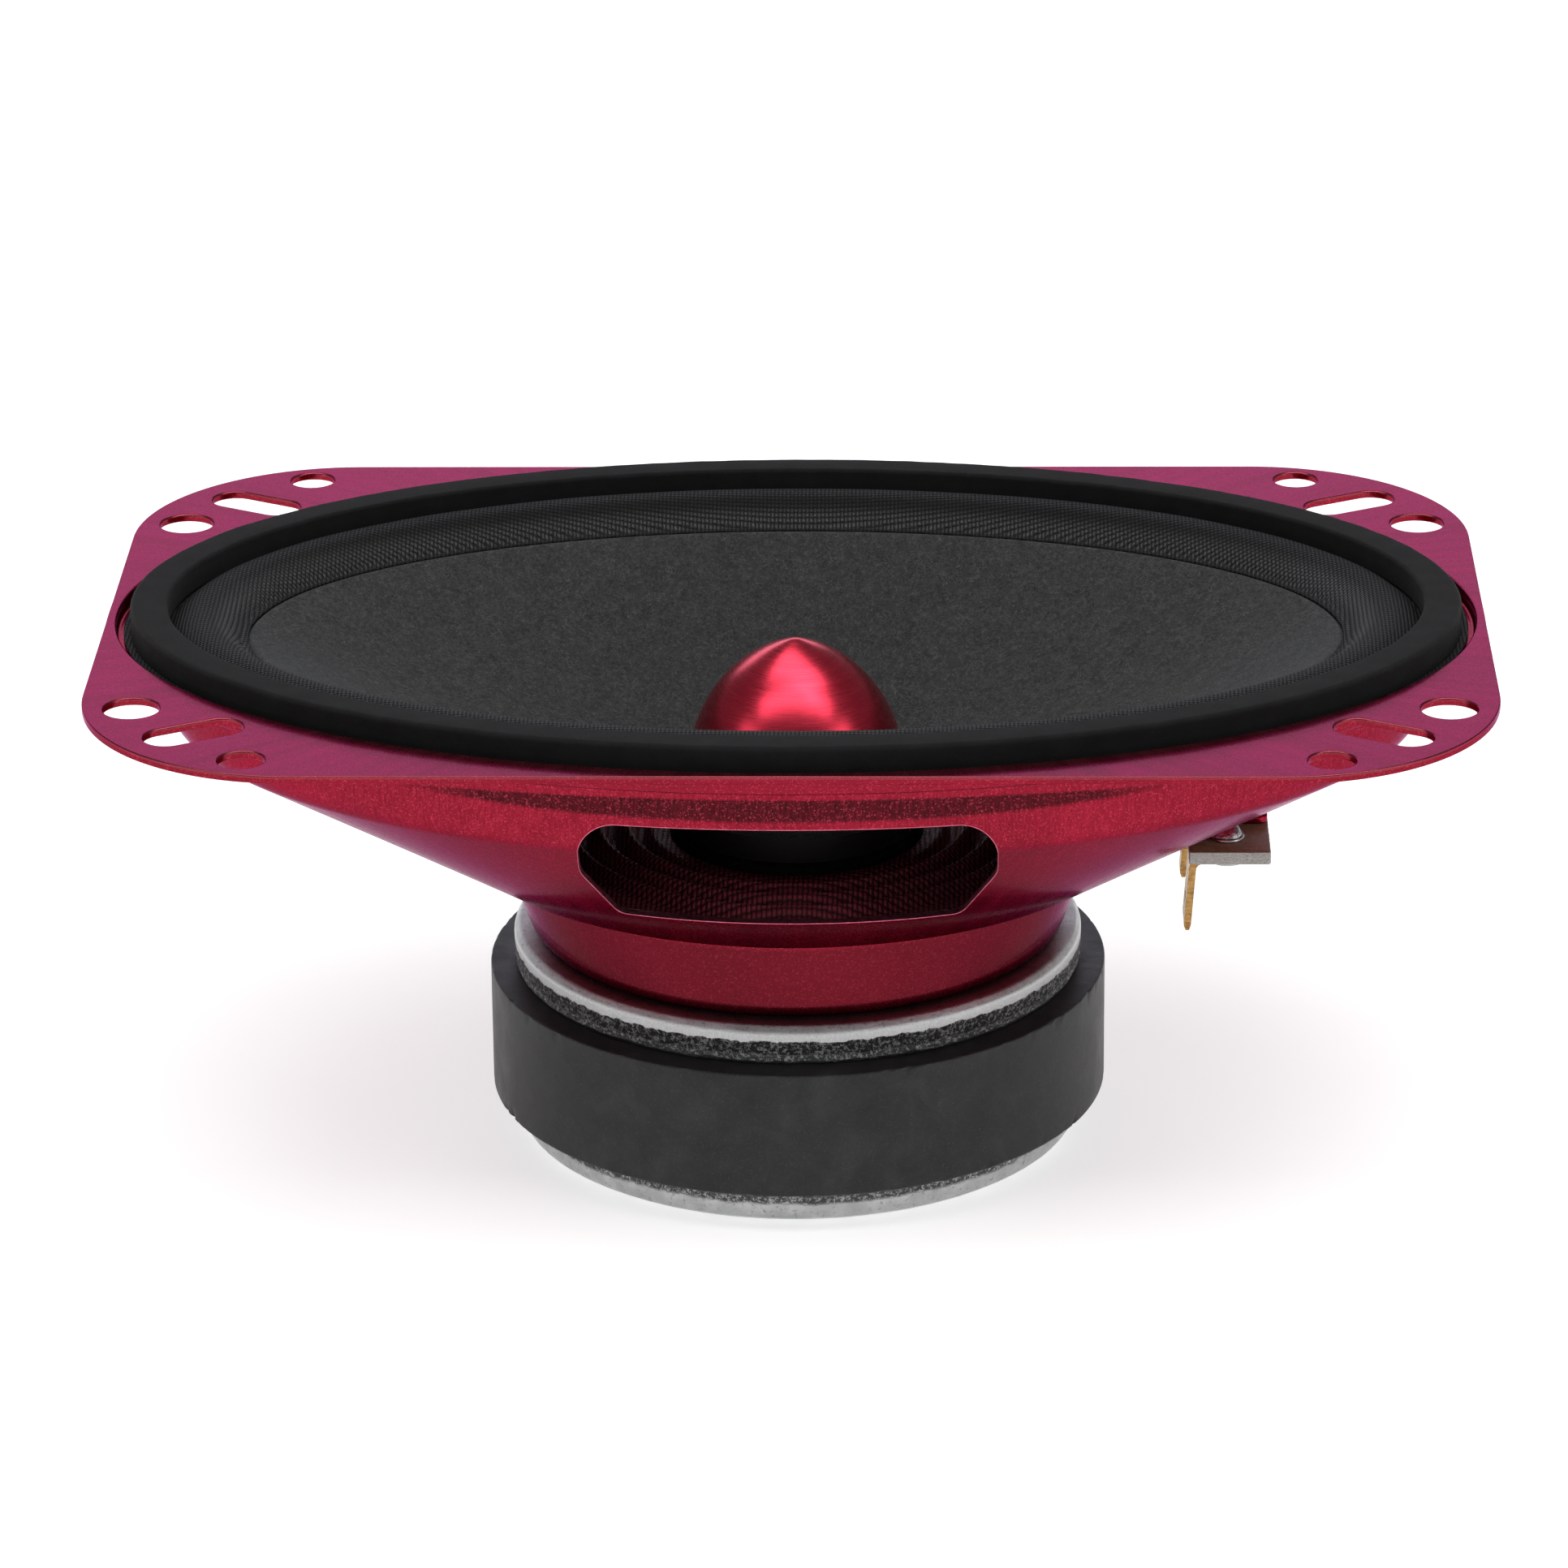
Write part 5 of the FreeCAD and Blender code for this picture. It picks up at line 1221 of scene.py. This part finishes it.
def cone():
    """Pressed paper cone with a shallow flare; its rim is turned out flat."""
    fo, ea, eb, ez, nz, pt = 12.9, 61.2, 34.0, 58.1, 39.0, 0.7
    front = []
    n = 40
    for i in range(n + 1):
        s = i / n
        bow = 1.1 * math.sin(math.pi * s)
        front.append((fo + 0.35 + (ea - 0.9 - fo - 0.35) * s, fo + 0.35 + (eb - 0.9 - fo - 0.35) * s,
                      nz + 0.75 + (ez - 0.05 - nz - 0.75) * s - bow))
    back = [(a + 0.26, b + 0.26, z - pt) for a, b, z in reversed(front)]
    rim = [(ea - 0.6, eb - 0.6, ez + 0.09), (ea - 0.35, eb - 0.35, ez + 0.12), (ea - 0.14, eb - 0.14, ez + 0.07),
           (ea, eb, ez - 0.07), (ea + 0.05, eb + 0.05, ez - 0.25), (ea + 1.5, eb + 1.5, ez - 0.25),
           (ea + 1.5, eb + 1.5, ez - 0.85), (ea - 0.2, eb - 0.2, ez - 0.85)]
    neck = [(fo + 0.6, fo + 0.6, nz - 0.35), (fo, fo, nz - 0.35), (fo, fo, nz + 0.75)]
    loop = front + rim + back[:-1] + neck

    def wob(p, i):
        if i > n + 4:
            return p
        q = p.copy()
        s = i / n
        for k in range(len(p)):
            v = Vector(p[k])
            q[k, 2] += (noise.noise(v * 0.12) * 0.06 + noise.noise(v * 0.55) * 0.03) * min(1.0, 4 * s, max(0.0, 6 * (1 - s)))
        return q
    return oval_loop_piece("cone_paper", "cone_assembly", ["paper"], loop, 540, ["cone"], wob)


cone_obj = cone()


# ------------------------------------------------------------------- motor --
def motor():
    g = Geo()
    prof = rz([(16.5, 4.78), (34.98, 4.78), (34.98, 19.38), (16.5, 19.38)], 0.32, 5, True)
    prof = [(q[0], q[2]) for q in densify(np.array([(r, r, z) for r, z in prof]), 0.8)]
    turned(g, prof, 480, closed=True)
    # chips along the edges and a slightly uneven ground face
    p = g.p
    for k, ring in enumerate(p):
        r = np.hypot(ring[:, 0], ring[:, 1])
        if r[0] > 33:
            for i in range(len(ring)):
                v = Vector(ring[i])
                edge = min(abs(ring[i, 2] - 4.78), abs(ring[i, 2] - 19.38))
                c = noise.noise(v * 0.9 + Vector((3, 1, 7)))
                chip = max(0.0, c - 0.30) * (0.55 if edge < 0.5 else 0.0)
                f = 1 - (chip + 0.012 * (1 + noise.noise(v * 0.25))) / r[i]
                ring[i, 0] *= f
                ring[i, 1] *= f
    o1 = g.make("magnet_ring", "frame", ["ferrite"], ["magnet"])
    g = Geo()
    prof = rz([(13.8, 19.4), (31.9, 19.4), (32.2, 19.9), (32.25, 23.2), (31.6, 24.0), (13.8, 24.0)], 0.35, 5, True)
    prof = [(q[0], q[2]) for q in densify(np.array([(r, r, z) for r, z in prof]), 0.45) if True]
    turned(g, prof, 480, closed=True)
    for ring in g.p:
        r = np.hypot(ring[:, 0], ring[:, 1])
        if r[0] > 31:
            for i in range(len(ring)):
                v = Vector(ring[i])
                low = max(0.0, min(1.0, (21.6 - ring[i, 2]) / 1.2))
                d = abs(noise.noise(v * 1.3)) * 0.16 * low + abs(noise.noise(v * 3.1)) * 0.10 * low + abs(noise.noise(v * 0.4)) * 0.03
                ring[i, 0] *= 1 - d / r[i]
                ring[i, 1] *= 1 - d / r[i]
    o2 = g.make("top_plate_ring", "frame", ["zinc_top"], ["top_plate"])
    g = Geo()
    prof = rz([(2.7, 3.6), (5.6, 3.6), (5.6, 0.0), (30.5, 0.0), (31.75, 0.75), (32.1, 1.9), (32.1, 4.75),
               (13.6, 4.75), (12.35, 7.1), (12.35, 24.0), (2.7, 24.0)], 0.35, 4, True)
    turned(g, prof, 360, closed=True)
    for ring in g.p:
        r = np.hypot(ring[:, 0], ring[:, 1])
        if r[0] > 29 and ring[0, 2] < 4.8:
            for i in range(len(ring)):
                v = Vector(ring[i])
                d = abs(noise.noise(v * 0.9)) * 0.07 + abs(noise.noise(v * 2.7)) * 0.04
                ring[i, 0] *= 1 - d / r[i]
                ring[i, 1] *= 1 - d / r[i]
    o3 = g.make("t_yoke_turned", "frame", ["zinc_back"], ["t_yoke"])
    return o1, o2, o3


motor_objs = motor()


def bullet():
    g = Geo()
    pr, az, ax = 12.2, 41.9, 4.0
    rr = pr + ax
    zt = az + math.sqrt(rr * rr - ax * ax)
    a1 = math.atan2(zt - az, ax)
    prof = [(2.5, 24.0), (11.6, 24.0), (12.05, 24.15), (12.2, 24.6)]
    prof += [(12.2, z) for z in (28, 32, 36, 39, 41)]
    for i in range(73):
        q = a1 * i / 72
        r, z = -ax + rr * math.cos(q), az + rr * math.sin(q)
        prof.append((max(r, 0.0), z))
    # the point is slightly blunt from polishing
    tip = []
    for r, z in prof:
        if r < 0.55 and z > 50:
            z = z - 0.10 * (1 - r / 0.55) ** 2
        tip.append((r, z))
    prof = tip
    rows = [g.add(oval(r, r, z, 256)) for r, z in prof[:-1]]
    g.grid(rows)
    g.fan(rows[-1], g.add([(0, 0, prof[-1][1])])[0])
    inner = [(2.5, 24.0), (2.5, 34.9), (0.6, 36.2)]
    r2 = [g.add(oval(r, r, z, 256)) for r, z in inner]
    g.grid(r2)
    g.fan(r2[-1], g.add([(0, 0, 36.4)])[0])
    return g.make("phase_plug_bullet", "frame", ["red_anodised"], ["phase_plug"])


bullet_obj = bullet()

# ------------------------------------------------- finish the CAD nodes -----
CAD = {
    "basket_rivets": "steel", "plug_screw": "steel", "plug_washer": "steel", "voice_coil_former": "polyimide",
    "voice_coil_winding": "copper", "voice_coil_collar": "kraft", "coil_lead_wires": "copper",
    "neck_adhesive_bead": "adhesive", "spider_adhesive_bead": "adhesive",
    "terminal_negative": "brass", "terminal_positive": "brass",
}
for name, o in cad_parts.items():
    if name in CAD:
        o.data.materials.clear()
        o.data.materials.append(MAT[CAD[name]])
        o.data.polygons.foreach_set("use_smooth", [True] * len(o.data.polygons))
        o.data.set_sharp_from_angle(angle=math.radians(32))

# ------------------------------------------------------------------- stage --
def floor():
    me = bpy.data.meshes.new("floor")
    n, r = 96, 4.0
    vs = [(0, 0, -0.0002)] + [(r * math.cos(TAU * k / n), r * math.sin(TAU * k / n), -0.0002) for k in range(n)]
    fs = [(0, 1 + k, 1 + (k + 1) % n) for k in range(n)]
    me.from_pydata(vs, [], fs)
    o = bpy.data.objects.new("floor", me)
    bpy.context.scene.collection.objects.link(o)
    # the floor glows: emitted light, dimmer near the speaker and brighter far off, which adds fill light and washes
    # out the speaker's shadow on the floor
    g = Mat("floor_paper", Metallic=0.0, Roughness=0.9, Emission_Strength=1.0)
    far = g.node("ShaderNodeVectorMath", {0: g.mm}, operation="LENGTH").outputs["Value"]
    g.set("Emission Color", g.ramp(g.rng(far, 250.0, 1500.0, 0.0, 1.0), [(0.0, (0.62, 0.62, 0.62)), (1.0, (0.97, 0.97, 0.97))]))
    g.set("Specular IOR Level", 0.1)
    g.set("Base Color", g.ramp(g.noise(g.mm, 0.02, 2, 0.5), [(0.3, (0.74, 0.74, 0.74)), (0.7, (0.76, 0.76, 0.76))]))
    me.materials.append(g.m)
    return o


floor()


def softbox(name, loc, target, size, power, color=(1, 1, 1), size_y=None):
    d = bpy.data.lights.new(name, "AREA")
    d.shape = "RECTANGLE"
    d.size, d.size_y = size, size_y or size
    d.energy = power
    d.color = color
    o = bpy.data.objects.new(name, d)
    bpy.context.scene.collection.objects.link(o)
    o.location = loc
    o.rotation_mode = "QUATERNION"
    o.rotation_quaternion = (Vector(target) - Vector(loc)).to_track_quat("-Z", "Y")
    return o


softbox("key", (0.05, 0.1, 1.5), (0, 0, 0.03), 1.6, 11.0, size_y=0.8)
softbox("bank", (0.0, -0.55, 1.46), (0, 0, 0.04), 2.4, 11.0, size_y=0.5)
softbox("left", (-1.4, -0.75, 0.60), (0, 0, 0.03), 0.7, 2.6, size_y=0.8)
softbox("right", (1.4, -0.75, 0.60), (0, 0, 0.03), 0.7, 3.6, size_y=0.8)
softbox("back", (-0.3, 1.8, 0.75), (0, 0, 0.05), 1.8, 5.0, (0.83, 0.84, 1.0), size_y=0.5)

world = bpy.data.worlds.new("studio")
bpy.context.scene.world = world
world.use_nodes = True
bg = world.node_tree.nodes.get("Background") or world.node_tree.nodes.new("ShaderNodeBackground")
# even grey all round with a white strip along the horizon, as a lit wall would be
wt = world.node_tree
tc = wt.nodes.new("ShaderNodeTexCoord")
sep = wt.nodes.new("ShaderNodeSeparateXYZ")
wt.links.new(tc.outputs["Generated"], sep.inputs[0])
rise = wt.nodes.new("ShaderNodeMapRange")
rise.inputs["From Min"].default_value = 0.10
rise.inputs["From Max"].default_value = 0.22
wt.links.new(sep.outputs["Z"], rise.inputs["Value"])
band = wt.nodes.new("ShaderNodeMix")
band.data_type = "RGBA"
col_in = [i for i in band.inputs if i.type == "RGBA"]
col_in[0].default_value = (1.0, 1.0, 1.0, 1)
col_in[1].default_value = (0.155, 0.157, 0.165, 1)
wt.links.new(rise.outputs["Result"], band.inputs[0])
wt.links.new([o for o in band.outputs if o.type == "RGBA"][0], bg.inputs[0])
bg.inputs[1].default_value = 1.0
bpy.context.scene.view_settings.view_transform = "Standard"
bpy.context.scene.view_settings.look = "None"
